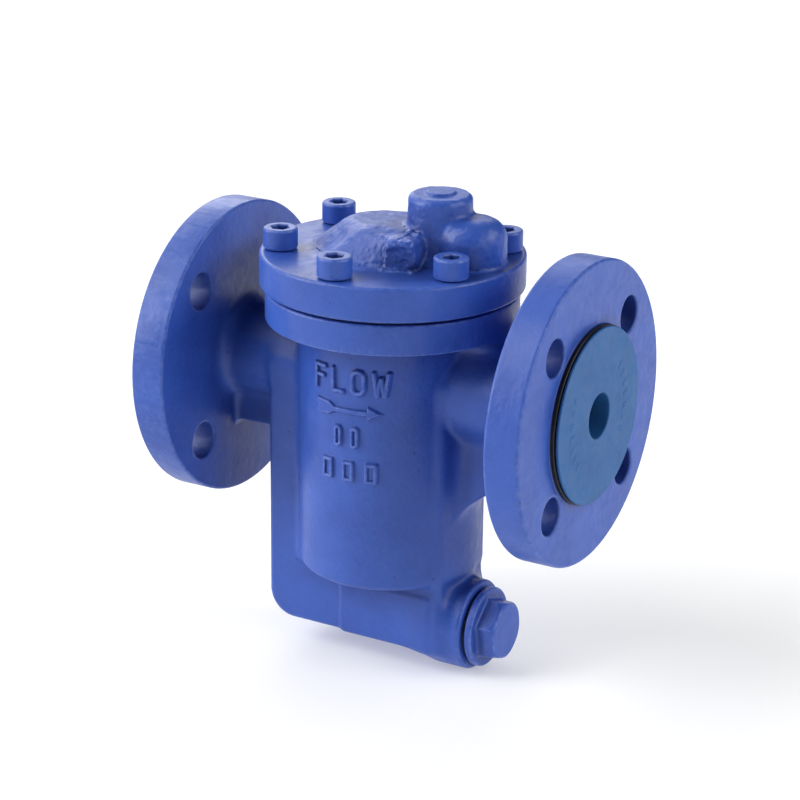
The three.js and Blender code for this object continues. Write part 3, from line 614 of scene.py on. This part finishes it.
def net(values, low, cell):
    """Vertices and quads of the zero surface of a grid of distances."""
    inside = values < 0
    size = np.array(values.shape) - 1
    any_in = np.zeros(size, bool)
    all_in = np.ones(size, bool)
    for i, j, k in CUBE_CORNERS:
        part = inside[i:i + size[0], j:j + size[1], k:k + size[2]]
        any_in |= part
        all_in &= part
    cells = np.argwhere(any_in & ~all_in)
    number = np.full(size, -1, np.int64)
    number[tuple(cells.T)] = np.arange(len(cells))

    total = np.zeros((len(cells), 3), np.float32)
    crossings = np.zeros(len(cells), np.float32)
    for axis in range(3):
        others = [a for a in range(3) if a != axis]
        for first in (0, 1):
            for second in (0, 1):
                start = cells.copy()
                start[:, others[0]] += first
                start[:, others[1]] += second
                end = start.copy()
                end[:, axis] += 1
                a, b = values[tuple(start.T)], values[tuple(end.T)]
                crosses = (a < 0) != (b < 0)
                t = np.where(crosses, a / np.where(crosses, a - b, 1), 0)
                point = start.astype(np.float32)
                point[:, axis] += t
                total += point * crosses[:, None]
                crossings += crosses
    points = total / crossings[:, None] * cell + np.array(low, np.float32)

    quads = []
    for axis in range(3):
        b, c = (axis + 1) % 3, (axis + 2) % 3
        lower = [slice(None)] * 3
        upper = [slice(None)] * 3
        lower[axis], upper[axis] = slice(0, -1), slice(1, None)
        here, there = inside[tuple(lower)], inside[tuple(upper)]
        edges = np.argwhere(here != there)
        edges = edges[(edges[:, b] > 0) & (edges[:, c] > 0)]
        edges = edges[(edges[:, b] < size[b]) & (edges[:, c] < size[c])]
        ring = []
        for db, dc in ((-1, -1), (0, -1), (0, 0), (-1, 0)):
            cell_at = edges.copy()
            cell_at[:, b] += db
            cell_at[:, c] += dc
            ring.append(number[tuple(cell_at.T)])
        ring = np.stack(ring, 1)
        outward = here[tuple(edges.T)]
        ring[~outward] = ring[~outward][:, ::-1]
        quads.append(ring)
    return points, np.concatenate(quads)


def slope_of(distance, points, step=0.04):
    """The distance and its gradient at each point."""
    value = np.zeros(len(points), np.float32)
    gradient = np.zeros((len(points), 3), np.float32)
    for axis in range(3):
        shift = np.zeros(3, np.float32)
        shift[axis] = step
        ahead, behind = distance(points + shift), distance(points - shift)
        gradient[:, axis] = (ahead - behind) / (2 * step)
        value += (ahead + behind) / 6
    return value, gradient


def settle(distance, points, reach, rounds=2):
    """Moves points onto the surface; none goes further than reach in one round."""
    for _ in range(rounds):
        value, gradient = slope_of(distance, points)
        size = np.maximum((gradient ** 2).sum(1), 0.04)
        move = np.clip(value / size, -reach, reach)
        points = points - gradient * move[:, None]
    return points


def coords(mesh):
    """The places of a mesh's vertices as an array."""
    out = np.empty(len(mesh.vertices) * 3, np.float32)
    mesh.vertices.foreach_get("co", out)
    return out.reshape(-1, 3)


LONGEST_EDGE = 20.0


def edge_pairs(triangles, count):
    """The vertex pairs of all edges, and the numbers of each triangle's three edges."""
    sides = np.concatenate([triangles[:, [0, 1]], triangles[:, [1, 2]], triangles[:, [2, 0]]])
    sides = np.sort(sides, axis=1).astype(np.int64)
    keys, place = np.unique(sides[:, 0] * count + sides[:, 1], return_inverse=True)
    return np.stack([keys // count, keys % count], 1), place.reshape(3, -1).T


def split(triangles, middles):
    """Splits each triangle at the middles of its edges that have one (-1 means none)."""
    has = middles >= 0
    total = has.sum(1)
    made = [triangles[total == 0]]
    full = total == 3
    (a, b, c), (ab, bc, ca) = triangles[full].T, middles[full].T
    for corners in ((a, ab, ca), (ab, b, bc), (ca, bc, c), (ab, bc, ca)):
        made.append(np.stack(corners, 1))
    for k in range(3):
        order = [k, (k + 1) % 3, (k + 2) % 3]
        one = (total == 1) & has[:, k]
        a, b, c = triangles[one][:, order].T
        ab = middles[one][:, k]
        made += [np.stack((a, ab, c), 1), np.stack((ab, b, c), 1)]
        two = (total == 2) & ~has[:, order[2]]
        a, b, c = triangles[two][:, order].T
        ab, bc, _ = middles[two][:, order].T
        made += [np.stack(t, 1) for t in ((ab, b, bc), (a, ab, bc), (a, bc, c))]
    return np.concatenate(made)


def refine(distance, points, triangles, tolerance, shortest, rounds, wanted_too=None):
    """Splits edges that stray from the surface, that are longer than LONGEST_EDGE or that wanted_too asks
    for, and only edges longer than shortest.
    """
    for _ in range(rounds):
        pairs, sides = edge_pairs(triangles, len(points))
        a, b = points[pairs[:, 0]], points[pairs[:, 1]]
        middle = (a + b) / 2
        length = np.linalg.norm(a - b, axis=1)
        wanted = (np.abs(distance(middle)) > tolerance) | (length > LONGEST_EDGE)
        if wanted_too is not None:
            wanted |= wanted_too(middle, length)
        wanted &= length > shortest
        for _ in range(2):
            twice = wanted[sides].sum(1) == 2
            wanted[sides[twice].ravel()] = True
        number = np.full(len(pairs), -1, np.int64)
        number[wanted] = len(points) + np.arange(wanted.sum())
        points = np.concatenate([points, settle(distance, middle[wanted], 0.8)])
        triangles = split(triangles, number[sides])
    return points, triangles


def thin(obj, ratio):
    """Fewer faces where the surface is flat."""
    if ratio >= 1:
        return
    modifier = obj.modifiers.new("thin", "DECIMATE")
    modifier.ratio = ratio
    graph = bpy.context.evaluated_depsgraph_get()
    made = bpy.data.meshes.new_from_object(obj.evaluated_get(graph))
    obj.modifiers.remove(modifier)
    obj.data = made


def cast(name, distance, low, high, cell, keep=1.0, tolerance=0.03, shortest=0.5, rounds=3, extra=None):
    """A mesh object of the surface of a distance function given in millimetres.

    The grid's cells measure cell, and keep is the share of faces left after thinning. Edges are
    then split where they stray from the surface by more than tolerance or where extra asks.
    """
    points, quads = net(sample(distance, low, high, cell), low, cell)
    points = settle(distance, points, cell * 0.6)
    mesh = bpy.data.meshes.new(name)
    mesh.from_pydata(points.tolist(), [], quads.tolist())
    obj = bpy.data.objects.new(name, mesh)
    bpy.context.scene.collection.objects.link(obj)
    thin(obj, keep)
    mesh = obj.data
    mesh.calc_loop_triangles()
    triangles = np.empty(len(mesh.loop_triangles) * 3, np.int32)
    mesh.loop_triangles.foreach_get("vertices", triangles)
    points = settle(distance, coords(mesh), cell * 0.4)
    points, triangles = refine(distance, points, triangles.reshape(-1, 3), tolerance, shortest, rounds, extra)
    mesh = bpy.data.meshes.new(name)
    mesh.from_pydata((points * MM).tolist(), [], triangles.tolist())
    obj.data = mesh
    _, gradient = slope_of(distance, points)
    normals = gradient / np.maximum(np.linalg.norm(gradient, axis=1), 1e-6)[:, None]
    mark_edges(mesh, distance, points, normals)
    mesh.polygons.foreach_set("use_smooth", [True] * len(mesh.polygons))
    mesh.normals_split_custom_set_from_vertices(normals.tolist())
    print("piece", name, len(triangles), "triangles")
    return obj


EDGE_STEP, CREASE_REACH, RECESS_REACH = 0.5, 3.0, 14.0


def mark_edges(mesh, distance, points, normals):
    """Stores how sharp an edge is and how deep in a corner or recess each vertex lies, all 0 to 1."""
    curve = -6 * distance(points)
    for axis in range(3):
        shift = np.zeros(3, np.float32)
        shift[axis] = EDGE_STEP
        curve += distance(points + shift) + distance(points - shift)
    edge = np.clip(curve / (EDGE_STEP * EDGE_STEP) * 0.9 - 0.1, 0, 1)
    ahead = distance(points + normals * CREASE_REACH)
    crease = np.clip(1 - ahead / CREASE_REACH, 0, 1)
    far_ahead = distance(points + normals * RECESS_REACH)
    recess = np.clip(1.0 - far_ahead / RECESS_REACH * 1.2, 0, 1)
    # The crease and recess values are used to darken the enamel as painted shade; the edge value lightens its
    # edges as wear and painted highlight.
    for label, values in (("edge", edge), ("crease", crease), ("recess", recess)):
        attribute = mesh.attributes.new(label, "FLOAT", "POINT")
        attribute.data.foreach_set("value", values.astype(np.float32))


# ---------------------------------------------------------------- materials

class Finish:
    """A material and short ways to add nodes to it. Sizes of patterns are in millimetres."""

    def __init__(self, name):
        self.material = bpy.data.materials.new(name)
        self.material.use_nodes = True
        self.tree = self.material.node_tree
        self.shader = self.tree.nodes["Principled BSDF"]
        self.place = self.node("ShaderNodeTexCoord").outputs["Object"]

    def node(self, kind, **settings):
        """A new node with the given settings."""
        made = self.tree.nodes.new(kind)
        for key, value in settings.items():
            setattr(made, key, value)
        return made

    def feed(self, socket, value):
        """Links a socket to another, or sets it to a plain value."""
        if isinstance(value, bpy.types.NodeSocket):
            self.tree.links.new(value, socket)
        else:
            socket.default_value = value

    def set(self, name, value):
        self.feed(self.shader.inputs[name], value)

    def noise(self, size, detail=2.0, roughness=0.5, stretch=(1, 1, 1)):
        made = self.node("ShaderNodeTexNoise")
        made.inputs["Scale"].default_value = 1000 / size
        made.inputs["Detail"].default_value = detail
        made.inputs["Roughness"].default_value = roughness
        place = self.place
        if stretch != (1, 1, 1):
            mapping = self.node("ShaderNodeMapping")
            mapping.inputs["Scale"].default_value = stretch
            self.feed(mapping.inputs["Vector"], place)
            place = mapping.outputs["Vector"]
        self.feed(made.inputs["Vector"], place)
        return made.outputs["Fac"]

    def cells(self, size):
        made = self.node("ShaderNodeTexVoronoi")
        made.inputs["Scale"].default_value = 1000 / size
        self.feed(made.inputs["Vector"], self.place)
        return made.outputs["Distance"]

    def span(self, value, low, high, start=0.0, end=1.0):
        """Maps low..high onto start..end, held at both ends."""
        made = self.node("ShaderNodeMapRange")
        self.feed(made.inputs["Value"], value)
        for name, number in (("From Min", low), ("From Max", high), ("To Min", start), ("To Max", end)):
            made.inputs[name].default_value = number
        return made.outputs["Result"]

    def math(self, operation, a, b):
        made = self.node("ShaderNodeMath", operation=operation)
        self.feed(made.inputs[0], a)
        self.feed(made.inputs[1], b)
        return made.outputs[0]

    def mix(self, factor, a, b):
        made = self.node("ShaderNodeMix", data_type="RGBA")
        self.feed(made.inputs["Factor"], factor)
        self.feed(made.inputs[6], (*a, 1) if isinstance(a, tuple) else a)
        self.feed(made.inputs[7], (*b, 1) if isinstance(b, tuple) else b)
        return made.outputs[2]

    def attribute(self, name):
        return self.node("ShaderNodeAttribute", attribute_name=name).outputs["Fac"]

    def bump(self, height, depth, below=None):
        """Raises the surface by depth millimetres where height is 1."""
        made = self.node("ShaderNodeBump")
        made.inputs["Strength"].default_value = 1.0
        made.inputs["Distance"].default_value = depth * MM
        self.feed(made.inputs["Height"], height)
        if below is not None:
            self.feed(made.inputs["Normal"], below)
        return made.outputs["Normal"]


RING_R, RING_FADE, RING_RAGGED = 35.2, 0.4, 0.3
RING_X, RING_X_FADE = FLANGE_FRONT + 0.35, 0.2


def bare_ring_and_gap_shade(f):
    """1 on the unpainted sides of the raised faces, which are painted near black, partly as bare steel and
    partly as painted shade of the gap behind the protectors; 0 elsewhere.
    """
    place = f.node("ShaderNodeSeparateXYZ")
    f.feed(place.inputs[0], f.place)
    x, y, z = place.outputs
    radial = f.math("SQRT", f.math("ADD", f.math("MULTIPLY", y, y), f.math("MULTIPLY", z, z)), 0.0)
    ragged = f.span(f.noise(2.5, 2), 0.3, 0.7, -RING_RAGGED, RING_RAGGED)
    out = f.span(f.math("ABSOLUTE", x, 0.0), RING_X * MM, (RING_X + RING_X_FADE) * MM)
    wavy = f.math("SUBTRACT", radial, f.math("MULTIPLY", ragged, MM))
    near = f.span(wavy, RING_R * MM, (RING_R + RING_FADE) * MM, 1.0, 0.0)
    return f.math("MULTIPLY", out, near)


COBALT_DARK, COBALT, COBALT_LIGHT = (0.022, 0.070, 0.345), (0.033, 0.097, 0.430), (0.050, 0.105, 0.470)
# The first blue lightens edges as wear and painted highlight; the other two darken creases and recesses as
# painted shade.
WORN_AND_HIGHLIGHT_BLUE, CREASE_SHADE_BLUE, RECESS_SHADE_BLUE = (0.130, 0.200, 0.560), (0.010, 0.022, 0.140), (0.008, 0.018, 0.130)
# The second colour is near black: bare steel darkened as painted shade of the gap behind the protectors.
SPECK, BARE_STEEL_AND_GAP_SHADE = (0.012, 0.018, 0.060), (0.006, 0.005, 0.007)


def enamel(name, texture=1.0, bare_and_shaded_faces=False):
    """Semi-gloss cobalt enamel over cast steel, with painted shade in creases and recesses, lighter edges
    that are partly wear and partly painted highlight, and, with the bare-faces option, near-black raised
    faces that are partly bare steel and partly painted shade; texture is the share of the casting's
    roughness.
    """
    f = Finish(name)
    broad = f.noise(22, 3, 0.55)
    blue = f.mix(f.span(broad, 0.3, 0.7), COBALT_DARK, COBALT)
    mottle = f.noise(1.6, 3, 0.6)
    blue = f.mix(f.span(mottle, 0.35, 0.75, 0.0, 0.35), blue, COBALT_LIGHT)
    # Edges are lightened, partly as wear of thin paint and partly as a painted highlight along them.
    worn_and_highlit = f.span(f.noise(2.6, 3, 0.65), 0.35, 0.65, 0.25, 1.0)
    edge = f.math("MULTIPLY", f.attribute("edge"), worn_and_highlit)
    blue = f.mix(f.span(edge, 0.2, 0.9, 0.0, 0.6), blue, WORN_AND_HIGHLIGHT_BLUE)
    # Painted shade: creases and inner corners are darkened towards a dark navy.
    crease = f.math("MULTIPLY", f.attribute("crease"), f.span(f.noise(6.0, 2), 0.3, 0.7, 0.6, 1.0))
    blue = f.mix(f.span(crease, 0.15, 0.9, 0.0, 0.75), blue, CREASE_SHADE_BLUE)
    # Painted shade: vertices deep in recesses and between parts are darkened.
    recess = f.attribute("recess")
    blue = f.mix(f.math("MULTIPLY", recess, 0.66), blue, RECESS_SHADE_BLUE)
    dot = f.span(f.cells(5.5), 0.055, 0.085, 1.0, 0.0)
    rare = f.span(f.noise(14, 1), 0.54, 0.60)
    blue = f.mix(f.math("MULTIPLY", f.math("MULTIPLY", dot, rare), 0.8), blue, SPECK)
    if bare_and_shaded_faces:
        # Painted shade: the raised faces' sides are near black, partly bare steel and partly shade of the
        # gap.
        blue = f.mix(bare_ring_and_gap_shade(f), blue, BARE_STEEL_AND_GAP_SHADE)
    f.set("Base Color", blue)
    f.set("Roughness", f.span(f.noise(5, 3, 0.6), 0.3, 0.7, 0.36, 0.50))
    f.set("Specular IOR Level", 0.36)
    f.set("Coat Weight", 0.1)
    f.set("Coat Roughness", 0.22)
    cast_skin = f.bump(f.noise(3.4, 4, 0.6), 0.26 * texture)
    grit = f.bump(f.noise(0.9, 2, 0.5), 0.035 * texture, cast_skin)
    f.set("Normal", grit)
    return f.material


def moulded_blue():
    """Satin polyethylene of the flange face protectors."""
    f = Finish("protector_plastic")
    blue = f.mix(f.span(f.noise(12, 3), 0.3, 0.7), (0.012, 0.088, 0.270), (0.018, 0.110, 0.315))
    blue = f.mix(f.span(f.noise(0.8, 2), 0.55, 0.8, 0.0, 0.3), blue, (0.050, 0.155, 0.380))
    f.set("Base Color", blue)
    f.set("Roughness", f.span(f.noise(3, 2), 0.3, 0.7, 0.45, 0.58))
    f.set("Specular IOR Level", 0.35)
    f.set("Normal", f.bump(f.noise(2.5, 3), 0.03))
    return f.material


def gasket_fibre():
    """Dull grey-blue sheet of the gaskets."""
    f = Finish("gasket_fibre")
    grey = f.mix(f.span(f.noise(2, 4, 0.7), 0.3, 0.7), (0.008, 0.010, 0.026), (0.026, 0.032, 0.070))
    f.set("Base Color", grey)
    f.set("Roughness", f.span(f.noise(1, 2), 0.3, 0.7, 0.7, 0.9))
    f.set("Normal", f.bump(f.noise(0.6, 3), 0.05))
    return f.material


def stainless():
    """Drawn stainless sheet and tube."""
    f = Finish("stainless_sheet")
    grain = f.noise(1.2, 4, 0.6, (1, 1, 0.06))
    steel = f.mix(f.span(grain, 0.3, 0.7), (0.50, 0.51, 0.53), (0.68, 0.69, 0.71))
    f.set("Base Color", steel)
    f.set("Metallic", 1.0)
    f.set("Roughness", f.span(grain, 0.3, 0.7, 0.26, 0.40))
    f.set("Normal", f.bump(grain, 0.012))
    return f.material


def hard_steel():
    """Ground and hardened steel of the valve and its pin."""
    f = Finish("hardened_steel")
    steel = f.mix(f.span(f.noise(3, 3), 0.3, 0.7), (0.34, 0.35, 0.37), (0.48, 0.49, 0.51))
    f.set("Base Color", steel)
    f.set("Metallic", 1.0)
    f.set("Roughness", f.span(f.noise(1.5, 3), 0.3, 0.7, 0.22, 0.34))
    f.set("Normal", f.bump(f.noise(0.5, 2), 0.008))
    return f.material


ENAMEL = enamel("enamel_casting", bare_and_shaded_faces=True)
SMOOTH_ENAMEL = enamel("enamel_fastener", 0.4)
PROTECTOR = moulded_blue()
GASKET = gasket_fibre()
STAINLESS = stainless()
HARD_STEEL = hard_steel()


# ------------------------------------------------------------------- pieces

def finish_piece(obj, body, material, slot, *nodes):
    """Gives a piece its material and body, and hides the CAD nodes that it stands for; slot is not used."""
    obj.data.materials.clear()
    obj.data.materials.append(material)
    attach(obj, body)
    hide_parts(*nodes)


MARKS_MIDDLE_X, MARKS_MIDDLE_Z, MARKS_HALF_WIDTH, MARKS_HALF_HEIGHT = -0.8, -9.2, 16.5, 23.7
FRONT_Y, MARK_EDGE, MARK_EDGE_GROWTH = -20.0, 1.0, 0.4


def near_marks(middle, length):
    """The front of the vessel, where the raised marks want small triangles; coarser away from them."""
    x, y, z = middle.T
    beside = np.abs(x - MARKS_MIDDLE_X) - MARKS_HALF_WIDTH
    above = np.abs(z - MARKS_MIDDLE_Z) - MARKS_HALF_HEIGHT
    away = np.maximum(np.maximum(beside, above), 0)
    return (y < FRONT_Y) & (length > MARK_EDGE + MARK_EDGE_GROWTH * away)


BODY_CELL, COVER_CELL = ((0.8, 0.6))

body = cast("body", body_distance, (-87, -60, -114), (87, 60, 60), BODY_CELL,
            keep=0.14, tolerance=0.045, extra=near_marks)
finish_piece(body, "housing", ENAMEL, "paint", "body_casting")
cover = cast("cover", cover_distance, (-54, -52, 34), (51, 52, 77), COVER_CELL, keep=0.35)
finish_piece(cover, "housing", ENAMEL, "paint", "cover_casting")
plug = cast("drain_plug_head", plug_distance, (29, -17, -112), (52, 17, -77), 0.4, keep=0.4, shortest=0.3)
finish_piece(plug, "housing", SMOOTH_ENAMEL, "paint", "drain_plug")

SOCKET_TURNS = [8, 35, -20, 14, 50, 3]
SCREW_GAP = 0.3
screw = cast("cap_screw", screw_distance, (-8, -8, -25), (8, 8, 9.5), 0.3,
             keep=0.35, shortest=0.2, tolerance=0.015)
screws = [screw] + [screw.copy() for _ in range(SCREW_COUNT - 1)]
for k, (obj, (sx, sy)) in enumerate(zip(screws, screw_places())):
    obj.name = f"screw_{k + 1}"
    if k:
        bpy.context.scene.collection.objects.link(obj)
    obj.location = (sx * MM, sy * MM, (COVER_TOP + SCREW_GAP) * MM)
    obj.rotation_euler.z = math.radians(SOCKET_TURNS[k])
bpy.context.view_layer.update()
for k, obj in enumerate(screws):
    finish_piece(obj, "housing", SMOOTH_ENAMEL, "paint", f"cap_screw_{k + 1}")

outlet_disc = cast("outlet_disc", protector_distance, (75, -35.5, -35.5), (87, 35.5, 35.5), 0.5,
                   keep=0.3, shortest=0.4, tolerance=0.02)
finish_piece(outlet_disc, "housing", PROTECTOR, "protector", "outlet_protector")
inlet_disc = outlet_disc.copy()
inlet_disc.data = outlet_disc.data.copy()
inlet_disc.name = "inlet_disc"
bpy.context.scene.collection.objects.link(inlet_disc)
inlet_disc.data.transform(Matrix.Rotation(math.pi, 4, "Z"))
finish_piece(inlet_disc, "housing", PROTECTOR, "protector", "inlet_protector")

# Name, distance function, CAD node, body, material, slot, grid cell and share of faces kept.
INNER = [
    ("screen", screen_distance, "strainer_screen", "housing", STAINLESS, "stainless", 0.4, 0.6),
    ("riser", riser_distance, "riser_tube", "housing", STAINLESS, "stainless", 0.45, 0.25),
    ("seat", seat_distance, "valve_seat", "housing", HARD_STEEL, "hard_steel", 0.35, 0.5),
    ("float_bucket", bucket_distance, "bucket", "bucket_float", STAINLESS, "stainless", 0.8, 0.2),
]
MARGIN_CELLS = 4
for name, distance, node, rides, material, slot, cell, keep in INNER:
    low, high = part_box(node)
    margin = MARGIN_CELLS * cell
    start = tuple(low[a] / MM - margin for a in range(3))
    end = tuple(high[a] / MM + margin for a in range(3))
    obj = cast(name, distance, start, end, cell, keep=keep, tolerance=0.04, shortest=0.3, rounds=1)
    finish_piece(obj, rides, material, slot, node)

# CAD nodes shown as they are, with their edges rounded.
KEPT = {
    "cover_gasket": GASKET,
    "drain_plug_gasket": GASKET,
    "lever_bracket": STAINLESS,
    "bracket_screw_1": STAINLESS,
    "bracket_screw_2": STAINLESS,
    "pivot_pin": HARD_STEEL,
    "lever": STAINLESS,
    "valve_plug": HARD_STEEL,
    "bucket_clip": STAINLESS,
    "clip_nut": STAINLESS,
}
BEVEL_WIDTH, BEVEL_ANGLE = 0.15, 35
for name, material in KEPT.items():
    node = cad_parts[name]
    node.data.materials.clear()
    node.data.materials.append(material)
    bevel = node.modifiers.new("bevel", "BEVEL")
    bevel.width = BEVEL_WIDTH * MM
    bevel.segments = 2
    bevel.limit_method = "ANGLE"
    bevel.angle_limit = math.radians(BEVEL_ANGLE)


# -------------------------------------------------- floor, light and camera

FLOOR_Z, FLOOR_SIZE, FLOOR_GLOW = -112.3, 30, 0.3
SKY_FILL = 0.02
bpy.ops.mesh.primitive_plane_add(size=FLOOR_SIZE, location=(0, 0, FLOOR_Z * MM))
floor = bpy.context.object
floor.name = "floor"
pale = Finish("floor_white")
pale.set("Base Color", pale.mix(pale.noise(400), (0.74, 0.74, 0.74), (0.76, 0.76, 0.76)))
pale.set("Roughness", 0.9)
pale.set("Specular IOR Level", 0.1)
pale.set("Emission Color", (1, 1, 1, 1))
pale.set("Emission Strength", FLOOR_GLOW)
floor.data.materials.append(pale.material)
floor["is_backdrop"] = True

# The sky is white where the camera sees it and lights the object only by SKY_FILL.
world = bpy.data.worlds.new("studio")
bpy.context.scene.world = world
world.use_nodes = True
studio = world.node_tree
sky = studio.nodes["Background"]
sky.inputs["Color"].default_value = (1, 1, 1, 1)
rays = studio.nodes.new("ShaderNodeLightPath")
glow = studio.nodes.new("ShaderNodeMapRange")
glow.inputs["To Min"].default_value = SKY_FILL
glow.inputs["To Max"].default_value = 1.0
studio.links.new(rays.outputs["Is Camera Ray"], glow.inputs["Value"])
studio.links.new(glow.outputs["Result"], sky.inputs["Strength"])


def soft_light(name, azimuth, elevation, strength, spread):
    """Light from a far, wide source; azimuth 0 is in front of the object and 90 at its outlet."""
    a, e = math.radians(azimuth), math.radians(elevation)
    toward = Vector((math.sin(a) * math.cos(e), -math.cos(a) * math.cos(e), math.sin(e)))
    data = bpy.data.lights.new(name, "SUN")
    data.energy = strength
    data.angle = math.radians(spread)
    lamp = bpy.data.objects.new(name, data)
    bpy.context.scene.collection.objects.link(lamp)
    lamp.rotation_euler = toward.to_track_quat("Z", "Y").to_euler()
    lamp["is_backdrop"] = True


def near_light(name, place, width, height, power):
    """A softbox at a place given in metres, turned to the middle of the object."""
    data = bpy.data.lights.new(name, "AREA")
    data.shape = "RECTANGLE"
    data.size, data.size_y = width, height
    data.energy = power
    lamp = bpy.data.objects.new(name, data)
    bpy.context.scene.collection.objects.link(lamp)
    lamp.location = place
    lamp.rotation_euler = Vector(place).to_track_quat("Z", "Y").to_euler()
    lamp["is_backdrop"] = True


# Name, azimuth, elevation, strength and spread.
SOFT_LIGHTS = [
    ("key", -50, 20, 1.57, 36),
    ("key_high", -50, 50, 1.33, 36),
    ("key_low", -65, 12, 0.65, 30),
    ("right", 98, 20, 0.68, 36),
    ("right_high", 110, 35, 0.98, 36),
    ("right_front", 76, 18, 0.48, 30),
    ("behind", 210, 30, 0.56, 36),
    ("back_left", 250, 40, 0.77, 36),
]
for settings in SOFT_LIGHTS:
    soft_light(*settings)
near_light("sheen", (-0.40, 0.33, 0.22), 0.3, 0.2, 0.45)

CAMERA_AZIMUTH, CAMERA_ELEVATION, CAMERA_ROLL = 29.794, 19.777, 0.647
CAMERA_DISTANCE = 1010.2
CAMERA_TARGET = Vector((1.706, 0.0, -9.66))
CAMERA_LENS, SENSOR_WIDTH = 119.57, 36


def studio_camera():
    """The camera at the photograph's angle, turned by CAMERA_ROLL about its own view."""
    a, e, r = (math.radians(v) for v in (CAMERA_AZIMUTH, CAMERA_ELEVATION, CAMERA_ROLL))
    back = Vector((math.sin(a) * math.cos(e), -math.cos(a) * math.cos(e), math.sin(e)))
    right = Vector((math.cos(a), math.sin(a), 0))
    up = back.cross(right)
    x = right * math.cos(r) + up * math.sin(r)
    y = up * math.cos(r) - right * math.sin(r)
    data = bpy.data.cameras.new("camera")
    data.lens = CAMERA_LENS
    data.sensor_width = SENSOR_WIDTH
    data.clip_start = 0.01
    camera = bpy.data.objects.new("camera", data)
    bpy.context.scene.collection.objects.link(camera)
    turn = Matrix((x, y, back)).transposed().to_4x4()
    camera.matrix_world = Matrix.Translation((CAMERA_TARGET + back * CAMERA_DISTANCE) * MM) @ turn
    bpy.context.scene.camera = camera


studio_camera()
bpy.context.scene.view_settings.view_transform = "Standard"

low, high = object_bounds()
